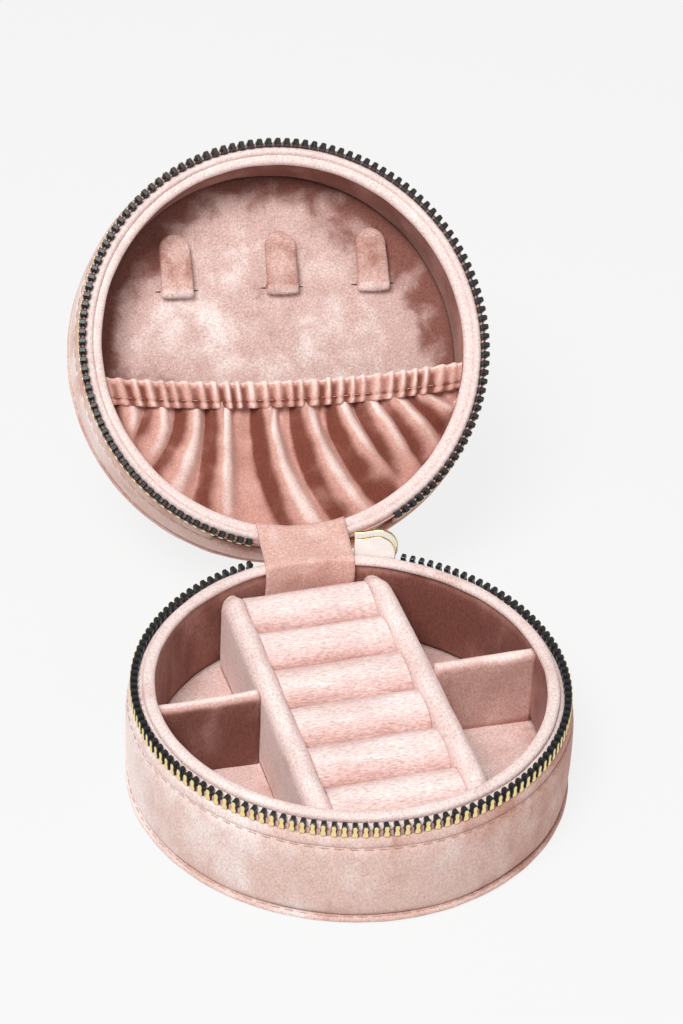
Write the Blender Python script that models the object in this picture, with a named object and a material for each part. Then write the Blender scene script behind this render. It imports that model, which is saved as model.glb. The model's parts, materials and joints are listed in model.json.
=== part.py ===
"""Round zip-up travel jewellery case, standing open on its base.

Units are metres, +Z is up. The origin is the centre of the base's underside, the
hinge is at the back (+Y) and the zip opens towards the front (-Y). Rim angles are
counted from the hinge line, clockwise seen from above. Lid pieces are modelled
closed, in the case's own frame, and hang from an empty on the hinge axis that
carries the opening angle.
"""
from math import acos, asin, cos, degrees, hypot, pi, radians, sin, sqrt

import bmesh
import bpy
from mathutils import Matrix, Vector

MM = 0.001

# Overall sizes
CASE_RADIUS = 52.4 * MM
BASE_HEIGHT = 28.2 * MM
CLOSED_HEIGHT = 50.0 * MM
LID_OPEN_ANGLE = 132.3
GAP = 0.3 * MM

# Layers of the round wall, from the outside inwards
COVER_THICKNESS = 1.45 * MM
HEM_INSET = 0.9 * MM
TAPE_PLAY = 0.25 * MM
TAPE_THICKNESS = 0.5 * MM
PADDING_THICKNESS = 1.1 * MM
BOARD_THICKNESS = 1.1 * MM
LINING_THICKNESS = 0.8 * MM
LIP_BULGE = 0.5 * MM
LIP_HEIGHT = 1.7 * MM
LID_LIP_HEIGHT = 2.6 * MM
LIP_GAP = 0.5 * MM

# Bottom and top
PANEL_THICKNESS = 1.6 * MM
WELT_WIDTH = 2.1 * MM
WELT_HEIGHT = 1.5 * MM
WELT_STANDOUT = 0.4 * MM
WELT_LIFT = 0.2 * MM
FLOOR_PAD_THICKNESS = 2.6 * MM
LID_PANEL_DEPTH = 17.3 * MM

# Zip
TEETH_PER_TURN = 138
TOOTH_HEIGHT = 3.1 * MM
TOOTH_OVERLAP = 1.6 * MM
TOOTH_RADIAL = 1.8 * MM
TOOTH_FOOT = 0.5 * MM
TOOTH_TAPER = 0.8
TEETH_BELOW_LIP = 0.2 * MM
HEM_WIDTH = 2.5 * MM
TAPE_WIDTH = 10.5 * MM
TEETH_START = 25.75
TEETH_END = 344.8
TAPE_START = 9.6
LID_RIM_START = 26.5
STOP_START = 349.1
STOP_SWEEP = 0.9
STOP_HEIGHT = 2.1 * MM

# Slider and puller
SLIDER_ANGLE = 18.3
SLIDER_LENGTH = 10.6 * MM
SLIDER_HEIGHT = 9.4 * MM
SLIDER_NARROW = 0.74
SLIDER_RISE = 1.7 * MM
PLATE_CLEARANCE = 0.2 * MM
INNER_PLATE = 0.7 * MM
OUTER_PLATE = 0.9 * MM
WEDGE_LENGTH = 2.2 * MM
WEDGE_HEIGHT = 1.2 * MM
BAIL_WIRE_RADIUS = 0.5 * MM
BAIL_REACH = 1.6 * MM
BAIL_HALF_SPAN = 2.6 * MM
EYE_OUTER_RADIUS = 1.2 * MM
EYE_BORE_RADIUS = 0.8 * MM
EYE_LENGTH = 3.4 * MM
PULLER_WIDTH = 5.6 * MM
PULLER_LENGTH = 19.0 * MM
PULLER_THICKNESS = 0.9 * MM

# Fabric hinge
HINGE_BACKSET = 0.3 * MM
HINGE_PANEL_WIDTH = 17.0 * MM
HINGE_PANEL_THICKNESS = 0.45 * MM
STRAP_WIDTH = 22.0 * MM
STRAP_SHIFT = -1.0 * MM
STRAP_THICKNESS = 0.6 * MM
STRAP_TAIL = 14.0 * MM

# Insert: two long walls, ring rolls and cross dividers
INSERT_TURN = 4.7
WALL_INNER_HALF = 15.5 * MM
WALL_THICKNESS = 5.8 * MM
WALL_TOP = 26.1 * MM
ROLL_COUNT = 6
ROLL_PITCH = 14.4 * MM
ROLL_RADIUS = 7.05 * MM
ROLL_TOP = 24.5 * MM
CROSS_PLACE = 3.35 * MM
CROSS_THICKNESS = 3.7 * MM
CROSS_TOP = 25.5 * MM

# Lid fittings
LID_FITTINGS_TURN = 1.9
HOOK_PLACES = (-24.2 * MM, 2.9 * MM, 26.5 * MM)
HOOK_NAMES = ("left", "middle", "right")
HOOK_WIDTH = 8.2 * MM
HOOK_FOOT = -15.5 * MM
HOOK_LENGTH = 16.8 * MM
HOOK_THICKNESS = 1.4 * MM
HOOK_STANDOFF = 1.6 * MM
HOOK_RETURN = 1.8 * MM
POCKET_EDGE = 5.6 * MM
POCKET_SAG = 2.9 * MM
POCKET_HEM = 6.0 * MM
POCKET_BULK = 4.0 * MM
HEM_BULK = 1.8 * MM

# Radii that follow from the layers
COVER_INNER = CASE_RADIUS - COVER_THICKNESS
HEM_OUTER = CASE_RADIUS - HEM_INSET
TAPE_OUTER = COVER_INNER - TAPE_PLAY
TAPE_INNER = TAPE_OUTER - TAPE_THICKNESS
TOOTH_OUTER = HEM_OUTER
TOOTH_INNER = TOOTH_OUTER - TOOTH_RADIAL
TOOTH_MIDDLE = (TOOTH_OUTER + TOOTH_INNER) / 2
INNER_PLATE_OUTER = TOOTH_INNER - PLATE_CLEARANCE
INNER_PLATE_INNER = INNER_PLATE_OUTER - INNER_PLATE
OUTER_PLATE_INNER = TOOTH_OUTER + PLATE_CLEARANCE
OUTER_PLATE_OUTER = OUTER_PLATE_INNER + OUTER_PLATE
PADDING_OUTER = TAPE_INNER - GAP
PADDING_INNER = PADDING_OUTER - PADDING_THICKNESS
BOARD_OUTER = INNER_PLATE_INNER - GAP
BOARD_INNER = BOARD_OUTER - BOARD_THICKNESS
LINING_OUTER = BOARD_INNER - GAP
LINING_INNER = LINING_OUTER - LINING_THICKNESS
MOUTH_RADIUS = LINING_INNER - LIP_BULGE
FITTING_RADIUS = LINING_INNER - GAP
STRAP_OUTER = MOUTH_RADIUS - GAP
STRAP_INNER = STRAP_OUTER - STRAP_THICKNESS
ROLL_LIMIT = STRAP_INNER - GAP
WELT_OUTER = CASE_RADIUS + WELT_STANDOUT
WELT_INNER = WELT_OUTER - WELT_WIDTH
PANEL_RADIUS = WELT_INNER - GAP

# Heights that follow
FLOOR = PANEL_THICKNESS + GAP
FLOOR_PAD_TOP = FLOOR + FLOOR_PAD_THICKNESS
TEETH_TOP = BASE_HEIGHT - TEETH_BELOW_LIP
TEETH_BOTTOM = TEETH_TOP - TOOTH_HEIGHT
CHAIN_PLANE = TEETH_TOP - TOOTH_OVERLAP / 2
LID_TEETH_BOTTOM = TEETH_TOP - TOOTH_OVERLAP
LID_TEETH_TOP = LID_TEETH_BOTTOM + TOOTH_HEIGHT
BASE_LIP_BOTTOM = BASE_HEIGHT - LIP_HEIGHT
BASE_TAPE_TOP = TEETH_BOTTOM - GAP
BASE_HEM_TOP = BASE_TAPE_TOP + 0.1 * MM
BASE_HEM_BOTTOM = BASE_HEM_TOP - HEM_WIDTH
SLIDER_MIDDLE = CHAIN_PLANE + SLIDER_RISE
SLIDER_TOP = SLIDER_MIDDLE + SLIDER_HEIGHT / 2
SLIDER_BOTTOM = SLIDER_MIDDLE - SLIDER_HEIGHT / 2
LID_MOUTH = BASE_HEIGHT + LIP_GAP
LID_LIP_TOP = LID_MOUTH + LID_LIP_HEIGHT
LID_WALL_START = SLIDER_TOP + GAP
LID_TAPE_START = LID_TEETH_TOP + GAP
LID_PANEL_FACE = LID_MOUTH + LID_PANEL_DEPTH
LID_TOP_UNDERSIDE = CLOSED_HEIGHT - PANEL_THICKNESS
HINGE_Y = CASE_RADIUS - HINGE_BACKSET
HINGE_Z = CHAIN_PLANE - GAP

VELVET = (0.80, 0.61, 0.57)
VELVET_DEEP = (0.62, 0.40, 0.36)
VELVET_PALE = (0.90, 0.78, 0.75)


for leftover in list(bpy.data.objects):
    bpy.data.objects.remove(leftover, do_unlink=True)


def material(name, colour, roughness, metallic=0.0):
    """A Principled material with one colour, roughness and metallic value."""
    made = bpy.data.materials.new(name)
    made.use_nodes = True
    shader = made.node_tree.nodes["Principled BSDF"]
    shader.inputs["Base Color"].default_value = (*colour, 1.0)
    shader.inputs["Roughness"].default_value = roughness
    shader.inputs["Metallic"].default_value = metallic
    return made


def empty(name, location=(0, 0, 0), rotation=(0, 0, 0), parent=None):
    """A frame that pieces are placed in."""
    made = bpy.data.objects.new(name, None)
    bpy.context.scene.collection.objects.link(made)
    made.parent = parent
    made.location = location
    made.rotation_euler = rotation
    return made


def face_outwards(bm):
    """Turns every face of a closed body to point out of it."""
    bmesh.ops.recalc_face_normals(bm, faces=bm.faces)
    if bm.calc_volume(signed=True) < 0:
        bmesh.ops.reverse_faces(bm, faces=bm.faces)


def piece(name, bm, colour, roughness=0.9, metallic=0.0, frame=None):
    """One sub-part as its own object, with its own material and outward faces."""
    face_outwards(bm)
    mesh = bpy.data.meshes.new(name)
    bm.to_mesh(mesh)
    bm.free()
    mesh.materials.append(material(name, colour, roughness, metallic))
    mesh.shade_smooth()
    mesh.set_sharp_from_angle(angle=radians(35))
    made = bpy.data.objects.new(name, mesh)
    bpy.context.scene.collection.objects.link(made)
    made.parent = frame
    return made


def cutter(name, bm):
    """A tool body that shapes other pieces and is no part of the case."""
    face_outwards(bm)
    mesh = bpy.data.meshes.new(name)
    bm.to_mesh(mesh)
    bm.free()
    made = bpy.data.objects.new(name, mesh)
    bpy.context.scene.collection.objects.link(made)
    made.hide_render = True
    made.display_type = "WIRE"
    return made


def boolean(target, tool, operation):
    """An exact Boolean modifier on target."""
    step = target.modifiers.new(tool.name, "BOOLEAN")
    step.object = tool
    step.operation = operation
    step.solver = "EXACT"


def rim_point(radius, angle, z):
    """A point at a rim angle, counted clockwise from the hinge line."""
    return Vector((radius * sin(radians(angle)), radius * cos(radians(angle)), z))


def turned(profile, start=0.0, end=360.0, steps=48):
    """A body turned about the case's axis from a closed (radius, z) profile."""
    bm = bmesh.new()
    corners = [bm.verts.new(rim_point(r, start, z)) for r, z in profile]
    edges = [bm.edges.new((corners[i - 1], corners[i])) for i in range(len(corners))]
    full = end - start >= 360.0
    bmesh.ops.spin(
        bm, geom=corners + edges, cent=(0, 0, 0), axis=(0, 0, 1),
        angle=-radians(end - start), steps=steps, use_merge=full,
    )
    if not full:
        rims = [edge for edge in bm.edges if edge.is_boundary]
        bmesh.ops.holes_fill(bm, edges=rims, sides=0)
    return bm


def band(inner, outer, low, high):
    """The rectangular profile of a plain round band."""
    return [(outer, high), (outer, low), (inner, low), (inner, high)]


def piping(inner, outer, low, high, corner=0.45):
    """The profile of a soft rolled edge, with its corners rounded off."""
    cut = (outer - inner) * corner / 2
    middle = (low + high) / 2
    return [
        (outer - cut, high), (outer, middle), (outer - cut, low),
        (inner + cut, low), (inner, middle), (inner + cut, high),
    ]


def disc(radius, low, high, steps=48):
    """A flat round panel."""
    bm = bmesh.new()
    bmesh.ops.create_cone(
        bm, cap_ends=True, segments=steps, radius1=radius, radius2=radius,
        depth=high - low, matrix=Matrix.Translation((0, 0, (low + high) / 2)),
    )
    return bm


def extruded(outline, direction):
    """A prism from a closed outline of points and the vector it is pushed along."""
    bm = bmesh.new()
    face = bm.faces.new([bm.verts.new(point) for point in outline])
    pushed = bmesh.ops.extrude_face_region(bm, geom=[face])
    moved = [item for item in pushed["geom"] if isinstance(item, bmesh.types.BMVert)]
    bmesh.ops.translate(bm, verts=moved, vec=direction)
    return bm


def box(low, high):
    """A plain block between two corners."""
    outline = [
        (low[0], low[1], low[2]), (high[0], low[1], low[2]),
        (high[0], high[1], low[2]), (low[0], high[1], low[2]),
    ]
    return extruded(outline, (0, 0, high[2] - low[2]))


def arc(centre, radius, start, end, steps):
    """Points of a circular arc as (across, up) pairs, angles in degrees."""
    turn = (end - start) / steps
    return [
        (centre[0] + radius * cos(radians(start + turn * i)),
         centre[1] + radius * sin(radians(start + turn * i)))
        for i in range(steps + 1)
    ]


def teeth(foot_z, tip_direction, half_pitch_shift):
    """One row of zip teeth standing on their common bead."""
    pitch = 360.0 / TEETH_PER_TURN
    count = int((TEETH_END - TEETH_START) / pitch)
    start = TEETH_START + pitch / 2 * half_pitch_shift
    foot_end = foot_z + TOOTH_FOOT * tip_direction
    profile = band(TOOTH_INNER, TOOTH_OUTER, min(foot_z, foot_end), max(foot_z, foot_end))
    steps = 2 * count - 1
    bm = turned(profile, start, start + steps * pitch / 2, steps)
    face_outwards(bm)
    tops = [f for f in bm.faces if all(abs(v.co.z - foot_end) < TOOTH_FOOT / 10 for v in f.verts)]
    tops.sort(key=lambda f: rim_angle(f.calc_center_median()))
    raised = bmesh.ops.extrude_discrete_faces(bm, faces=tops[::2])["faces"]
    for face in raised:
        middle = face.calc_center_median()
        along = Vector((middle.y, -middle.x, 0)).normalized()
        for vert in face.verts:
            offset = vert.co - middle
            vert.co -= along * offset.dot(along) * (1 - TOOTH_TAPER)
            vert.co.z += (TOOTH_HEIGHT - TOOTH_FOOT) * tip_direction
    return bm


def rim_angle(point):
    """The rim angle of a point, from 0 to 360 degrees."""
    angle = degrees(acos(max(-1.0, min(1.0, point.y / hypot(point.x, point.y)))))
    return angle if point.x >= 0 else 360.0 - angle


# Frames: the lid opens about the hinge axis, and its pieces keep closed coordinates
lid_axis = empty("lid_hinge_axis", (0, HINGE_Y, HINGE_Z), (-radians(LID_OPEN_ANGLE), 0, 0))
lid = empty("lid_frame", (0, -HINGE_Y, -HINGE_Z), parent=lid_axis)
lid_fittings = empty("lid_fittings_frame", rotation=(0, 0, radians(LID_FITTINGS_TURN)), parent=lid)
insert = empty("insert_frame", rotation=(0, 0, radians(INSERT_TURN)))


def lid_to_world(point):
    """Where a point of the closed lid lies when the lid is open."""
    turn = Matrix.Rotation(-radians(LID_OPEN_ANGLE), 4, "X")
    pivot = Vector((0, HINGE_Y, HINGE_Z))
    return pivot + turn @ (Vector(point) - pivot)


def build_base_wall():
    """The layered wall of the base, from the bottom panel up to the lip."""
    piece("base_bottom_panel", disc(PANEL_RADIUS, 0, PANEL_THICKNESS), VELVET_DEEP)
    welt = piping(WELT_INNER, WELT_OUTER, WELT_LIFT, WELT_LIFT + WELT_HEIGHT)
    piece("base_bottom_welt", turned(welt, steps=48), VELVET)
    cover = band(COVER_INNER, CASE_RADIUS, FLOOR, BASE_HEM_BOTTOM - GAP)
    piece("base_outer_cover", turned(cover, steps=60), VELVET)
    hem = band(COVER_INNER, HEM_OUTER, BASE_HEM_BOTTOM, BASE_HEM_TOP)
    piece("base_rim_hem", turned(hem, TAPE_START, 360 - TAPE_START, 54), VELVET)
    padding = band(PADDING_INNER, PADDING_OUTER, FLOOR, SLIDER_BOTTOM - GAP)
    piece("base_padding", turned(padding, steps=40), (0.86, 0.84, 0.78))
    board = band(BOARD_INNER, BOARD_OUTER, FLOOR, BASE_LIP_BOTTOM - GAP)
    piece("base_shell", turned(board, steps=48), (0.55, 0.50, 0.44))
    lining = band(LINING_INNER, LINING_OUTER, FLOOR_PAD_TOP + GAP, BASE_LIP_BOTTOM - GAP)
    piece("base_lining", turned(lining, steps=48), VELVET_DEEP)
    lip = piping(MOUTH_RADIUS, BOARD_OUTER, BASE_LIP_BOTTOM, BASE_HEIGHT)
    piece("base_lip_piping", turned(lip, steps=60), VELVET_PALE)
    piece("base_floor_pad", disc(LINING_OUTER, FLOOR, FLOOR_PAD_TOP), VELVET)


def build_lid_wall():
    """The same wall turned over for the lid, cut back beside the hinge for the slider."""
    piece("lid_top_panel", disc(PANEL_RADIUS, LID_TOP_UNDERSIDE, CLOSED_HEIGHT), VELVET, frame=lid)
    welt_top = CLOSED_HEIGHT - WELT_LIFT
    welt = piping(WELT_INNER, WELT_OUTER, welt_top - WELT_HEIGHT, welt_top)
    piece("lid_welt", turned(welt, steps=48), VELVET, frame=lid)
    wall_end = LID_TOP_UNDERSIDE - GAP
    cover = band(COVER_INNER, CASE_RADIUS, LID_WALL_START, wall_end)
    piece("lid_outer_cover", turned(cover, steps=60), VELVET, frame=lid)
    hem = band(COVER_INNER, HEM_OUTER, LID_TAPE_START, LID_WALL_START - GAP)
    rim_end = 360 - LID_RIM_START
    piece("lid_rim_hem", turned(hem, LID_RIM_START, rim_end, 50), VELVET, frame=lid)
    padding = band(PADDING_INNER, PADDING_OUTER, LID_WALL_START, wall_end)
    piece("lid_padding", turned(padding, steps=40), (0.86, 0.84, 0.78), frame=lid)
    board = band(BOARD_INNER, BOARD_OUTER, LID_WALL_START, wall_end)
    piece("lid_shell", turned(board, steps=48), (0.55, 0.50, 0.44), frame=lid)
    lining = band(LINING_INNER, LINING_OUTER, LID_LIP_TOP + GAP, LID_PANEL_FACE - GAP)
    piece("lid_lining", turned(lining, steps=48), VELVET_DEEP, frame=lid)
    lip = piping(MOUTH_RADIUS, BOARD_OUTER, LID_MOUTH, LID_LIP_TOP)
    piece("lid_lip_piping", turned(lip, LID_RIM_START, rim_end, 50), VELVET_PALE, frame=lid)
    face = disc(LINING_OUTER, LID_PANEL_FACE, LID_TOP_UNDERSIDE - GAP)
    piece("lid_lining_panel", face, VELVET, frame=lid)


def build_zip():
    """Tapes, teeth and end stops of both rows."""
    tape = band(TAPE_INNER, TAPE_OUTER, BASE_TAPE_TOP - TAPE_WIDTH, BASE_TAPE_TOP)
    tape_end = 360 - TAPE_START
    piece("base_zip_tape", turned(tape, TAPE_START, tape_end, 54), VELVET_DEEP)
    tape = band(TAPE_INNER, TAPE_OUTER, LID_TAPE_START, LID_TAPE_START + TAPE_WIDTH)
    piece("lid_zip_tape", turned(tape, TAPE_START, tape_end, 54), VELVET_DEEP, frame=lid)
    brass = (0.80, 0.62, 0.33)
    piece("base_zip_teeth", teeth(TEETH_BOTTOM, 1, 0), brass, 0.3, 1.0)
    piece("lid_zip_teeth", teeth(LID_TEETH_TOP, -1, 1), brass, 0.3, 1.0, lid)
    stop_end = STOP_START + STOP_SWEEP
    stop = band(TOOTH_INNER, TAPE_OUTER, TEETH_BOTTOM, TEETH_BOTTOM + STOP_HEIGHT)
    piece("base_zip_stop", turned(stop, STOP_START, stop_end, 1), brass, 0.3, 1.0)
    stop = band(TOOTH_INNER, TAPE_OUTER, LID_TEETH_TOP - STOP_HEIGHT, LID_TEETH_TOP)
    piece("lid_zip_stop", turned(stop, STOP_START, stop_end, 1), brass, 0.3, 1.0, lid)


def slider_plate(inner, outer):
    """One curved plate of the slider, shield-shaped, wide at its leading end."""
    half_turn = degrees(SLIDER_LENGTH / 2 / TOOTH_MIDDLE)
    bm = turned(
        band(inner, outer, SLIDER_BOTTOM, SLIDER_TOP),
        SLIDER_ANGLE - half_turn, SLIDER_ANGLE + half_turn, 10,
    )
    for vert in bm.verts:
        along = (rim_angle(vert.co) - SLIDER_ANGLE) / half_turn
        rounding = sqrt(max(0.0, 1 - max(0.0, (along - 0.45) / 0.72) ** 2))
        spread = SLIDER_NARROW + (1 - SLIDER_NARROW) * min(1.0, (along + 1) / 1.4)
        vert.co.z = SLIDER_MIDDLE + (vert.co.z - SLIDER_MIDDLE) * spread * rounding
    return bm


def build_slider():
    """Slider body, its bail and the hanging puller, parked beside the hinge."""
    gold = (0.90, 0.76, 0.50)
    body = piece("slider_body", slider_plate(INNER_PLATE_INNER, INNER_PLATE_OUTER), gold, 0.2, 1.0)
    outer = cutter("slider_outer_plate", slider_plate(OUTER_PLATE_INNER, OUTER_PLATE_OUTER))
    half_turn = degrees(SLIDER_LENGTH / 2 / TOOTH_MIDDLE)
    wedge_turn = degrees(WEDGE_LENGTH / TOOTH_MIDDLE)
    wedge_low = TEETH_TOP + PLATE_CLEARANCE
    wedge_profile = band(
        INNER_PLATE_OUTER - INNER_PLATE / 2, OUTER_PLATE_INNER + OUTER_PLATE / 2,
        wedge_low, wedge_low + WEDGE_HEIGHT,
    )
    wedge_end = SLIDER_ANGLE + half_turn
    wedge = cutter("slider_wedge", turned(wedge_profile, wedge_end - wedge_turn, wedge_end, 2))
    boolean(body, wedge, "UNION")
    boolean(body, outer, "UNION")

    # The bail is a wire staple whose bar runs along the zip, for the puller's eye
    slider_frame = empty("slider_frame", rotation=(0, 0, -radians(SLIDER_ANGLE)))
    bar_radius = OUTER_PLATE_OUTER + BAIL_REACH
    foot = OUTER_PLATE_OUTER + GAP
    wire = bpy.data.curves.new("slider_bail", "CURVE")
    wire.dimensions = "3D"
    wire.bevel_depth = BAIL_WIRE_RADIUS
    wire.bevel_resolution = 1
    wire.use_fill_caps = True
    run = wire.splines.new("POLY")
    staple = [
        (-BAIL_HALF_SPAN, foot), (-BAIL_HALF_SPAN, bar_radius),
        (BAIL_HALF_SPAN, bar_radius), (BAIL_HALF_SPAN, foot),
    ]
    run.points.add(len(staple) - 1)
    for point, (across, out) in zip(run.points, staple):
        point.co = (across, out, SLIDER_MIDDLE, 1)
    wire.materials.append(material("slider_bail", gold, 0.2, 1.0))
    bail = bpy.data.objects.new("slider_bail", wire)
    bpy.context.scene.collection.objects.link(bail)
    bail.parent = slider_frame

    # The puller hangs from the bail: a rolled eye with a flat tab below it
    puller_axis = empty("puller_axis", (0, bar_radius, SLIDER_MIDDLE), parent=slider_frame)
    half = EYE_LENGTH / 2
    eye = [(-half, y, z) for y, z in arc((0, 0), EYE_OUTER_RADIUS, 0, 345, 23)]
    puller = piece("puller", extruded(eye, (EYE_LENGTH, 0, 0)), gold, 0.22, 1.0, puller_axis)
    tab = box(
        (-PULLER_WIDTH / 2, -PULLER_THICKNESS / 2, -PULLER_LENGTH),
        (PULLER_WIDTH / 2, PULLER_THICKNESS / 2, -EYE_OUTER_RADIUS * 0.8),
    )
    upright = [e for e in tab.edges if abs(e.verts[0].co.y - e.verts[1].co.y) > PULLER_THICKNESS / 2]
    bmesh.ops.bevel(
        tab, geom=upright, offset=1.6 * MM, segments=3, profile=0.5, affect="EDGES", material=-1,
    )
    tab = cutter("puller_tab", tab)
    tab.parent = puller_axis
    bore = [(-EYE_LENGTH, y, z) for y, z in arc((0, 0), EYE_BORE_RADIUS, 0, 345, 23)]
    bore = cutter("puller_bore", extruded(bore, (2 * EYE_LENGTH, 0, 0)))
    bore.parent = puller_axis
    boolean(puller, tab, "UNION")
    boolean(puller, bore, "DIFFERENCE")


def strip(columns, thickness):
    """A cloth strip through rows of points, given its thickness about its middle."""
    bm = bmesh.new()
    rows = [[bm.verts.new(point) for point in column] for column in columns]
    for left, right in zip(rows, rows[1:]):
        for i in range(len(left) - 1):
            bm.faces.new((left[i], left[i + 1], right[i + 1], right[i]))
    bmesh.ops.recalc_face_normals(bm, faces=bm.faces)
    bm.normal_update()
    shift = {vert: vert.normal * thickness / 2 for vert in bm.verts}
    for vert, offset in shift.items():
        vert.co += offset
    bmesh.ops.solidify(bm, geom=bm.faces[:], thickness=thickness)
    return bm


def build_hinge():
    """The inner strap and the outer panel, one cloth hinge shared by base and lid."""
    middle = (STRAP_INNER + STRAP_OUTER) / 2
    clear = GAP + STRAP_THICKNESS / 2
    over_lip = MOUTH_RADIUS + 0.2 * MM
    columns = []
    for i in range(9):
        x = STRAP_SHIFT + STRAP_WIDTH * (i / 8 - 0.5)
        tail_y = sqrt(middle ** 2 - x ** 2)
        lip_y = sqrt(over_lip ** 2 - x ** 2)
        base_side = [
            Vector((x, tail_y, STRAP_TAIL)),
            Vector((x, tail_y, (STRAP_TAIL + BASE_HEIGHT) / 2)),
            Vector((x, tail_y, BASE_HEIGHT - 0.2 * MM)),
            Vector((x, lip_y, BASE_HEIGHT + clear)),
        ]
        lid_side = [
            lid_to_world((x, lip_y, LID_MOUTH - clear)),
            lid_to_world((x, tail_y, LID_MOUTH + 0.2 * MM)),
            lid_to_world((x, tail_y, LID_LIP_TOP)),
        ]
        span = lid_side[0] - base_side[-1]
        between = [base_side[-1] + span * step for step in (0.33, 0.67)]
        columns.append(base_side + between + lid_side)
    piece("hinge_strap", strip(columns, STRAP_THICKNESS), VELVET)

    fold = COVER_INNER + HINGE_PANEL_THICKNESS / 2
    columns = []
    for i in range(5):
        x = HINGE_PANEL_WIDTH * (i / 4 - 0.5)
        crest = HINGE_PANEL_THICKNESS / 2 + GAP
        columns.append([
            Vector((x, fold, BASE_HEM_BOTTOM)),
            Vector((x, fold, BASE_HEM_TOP)),
            Vector((x, HINGE_Y - 0.5 * MM, HINGE_Z - 0.4 * MM)),
            Vector((x, HINGE_Y + 0.8 * MM, HINGE_Z + crest)),
            Vector((x, HINGE_Y + 2.0 * MM, HINGE_Z - 0.3 * MM)),
            lid_to_world((x, fold, LID_TAPE_START)),
            lid_to_world((x, fold, LID_WALL_START - GAP)),
        ])
    piece("hinge_panel", strip(columns, HINGE_PANEL_THICKNESS), VELVET)


def build_insert():
    """Ring rolls between two long walls, and a cross divider on each side."""
    bottom = FLOOR_PAD_TOP + GAP
    wall_limit = cutter("wall_limit", disc(FITTING_RADIUS, FLOOR, BASE_HEIGHT))
    roll_limit = cutter("roll_limit", disc(ROLL_LIMIT, FLOOR, BASE_HEIGHT))
    half = WALL_THICKNESS / 2
    for side, name in ((-1, "left"), (1, "right")):
        middle = side * (WALL_INNER_HALF + half)
        crown = arc((middle, WALL_TOP - half), half, 0, 180, 8)
        outline = [(middle - half, bottom), (middle + half, bottom)] + crown
        points = [(x, -CASE_RADIUS, z) for x, z in outline]
        wall = extruded(points, (0, 2 * CASE_RADIUS, 0))
        boolean(piece(f"long_wall_{name}", wall, VELVET_PALE, frame=insert), wall_limit, "INTERSECT")

        near = side * (WALL_INNER_HALF + WALL_THICKNESS + GAP)
        low, high = sorted((near, side * CASE_RADIUS))
        divider = box(
            (low, CROSS_PLACE - CROSS_THICKNESS / 2, bottom),
            (high, CROSS_PLACE + CROSS_THICKNESS / 2, CROSS_TOP),
        )
        boolean(piece(f"cross_divider_{name}", divider, VELVET, frame=insert), wall_limit, "INTERSECT")

    reach = WALL_INNER_HALF - GAP
    for number in range(ROLL_COUNT):
        middle = ((ROLL_COUNT - 1) / 2 - number) * ROLL_PITCH
        crown = arc((middle, ROLL_TOP - ROLL_RADIUS), ROLL_RADIUS, 0, 180, 10)
        outline = [(middle - ROLL_RADIUS, bottom), (middle + ROLL_RADIUS, bottom)] + crown
        roll = extruded([(-reach, y, z) for y, z in outline], (2 * reach, 0, 0))
        made = piece(f"ring_roll_{number + 1}", roll, VELVET_PALE, frame=insert)
        boolean(made, roll_limit, "INTERSECT")


def build_hooks():
    """Three necklace hooks: a leaf turned up from a foot set in the lid's panel."""
    for name, place in zip(HOOK_NAMES, HOOK_PLACES):
        axis = empty(f"hook_{name}_axis", (place, HOOK_FOOT, LID_PANEL_FACE), parent=lid_fittings)
        tip = -HOOK_LENGTH
        near, far = HOOK_STANDOFF, HOOK_STANDOFF + HOOK_THICKNESS
        side_view = [
            (0, GAP), (-HOOK_RETURN, GAP), (-HOOK_RETURN, near),
            (tip, near - GAP), (tip, far - GAP),
            (-HOOK_RETURN / 2, far), (0, far - HOOK_THICKNESS / 2),
        ]
        outline = [(-HOOK_WIDTH / 2, y, -depth) for y, depth in side_view]
        bm = extruded(outline, (HOOK_WIDTH, 0, 0))
        corners = [
            edge for edge in bm.edges
            if all(abs(vert.co.y - tip) < GAP for vert in edge.verts)
            and abs(edge.verts[0].co.x - edge.verts[1].co.x) < GAP
        ]
        bmesh.ops.bevel(
            bm, geom=corners, offset=HOOK_WIDTH * 0.47, segments=5, profile=0.5,
            affect="EDGES", material=-1,
        )
        piece(f"hook_{name}", bm, VELVET, frame=axis)


def pocket_edge(x):
    """Height of the pocket's opening across the lid, sagging towards the hinge."""
    return POCKET_EDGE + POCKET_SAG * (1 - (x / MOUTH_RADIUS) ** 2)


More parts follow.
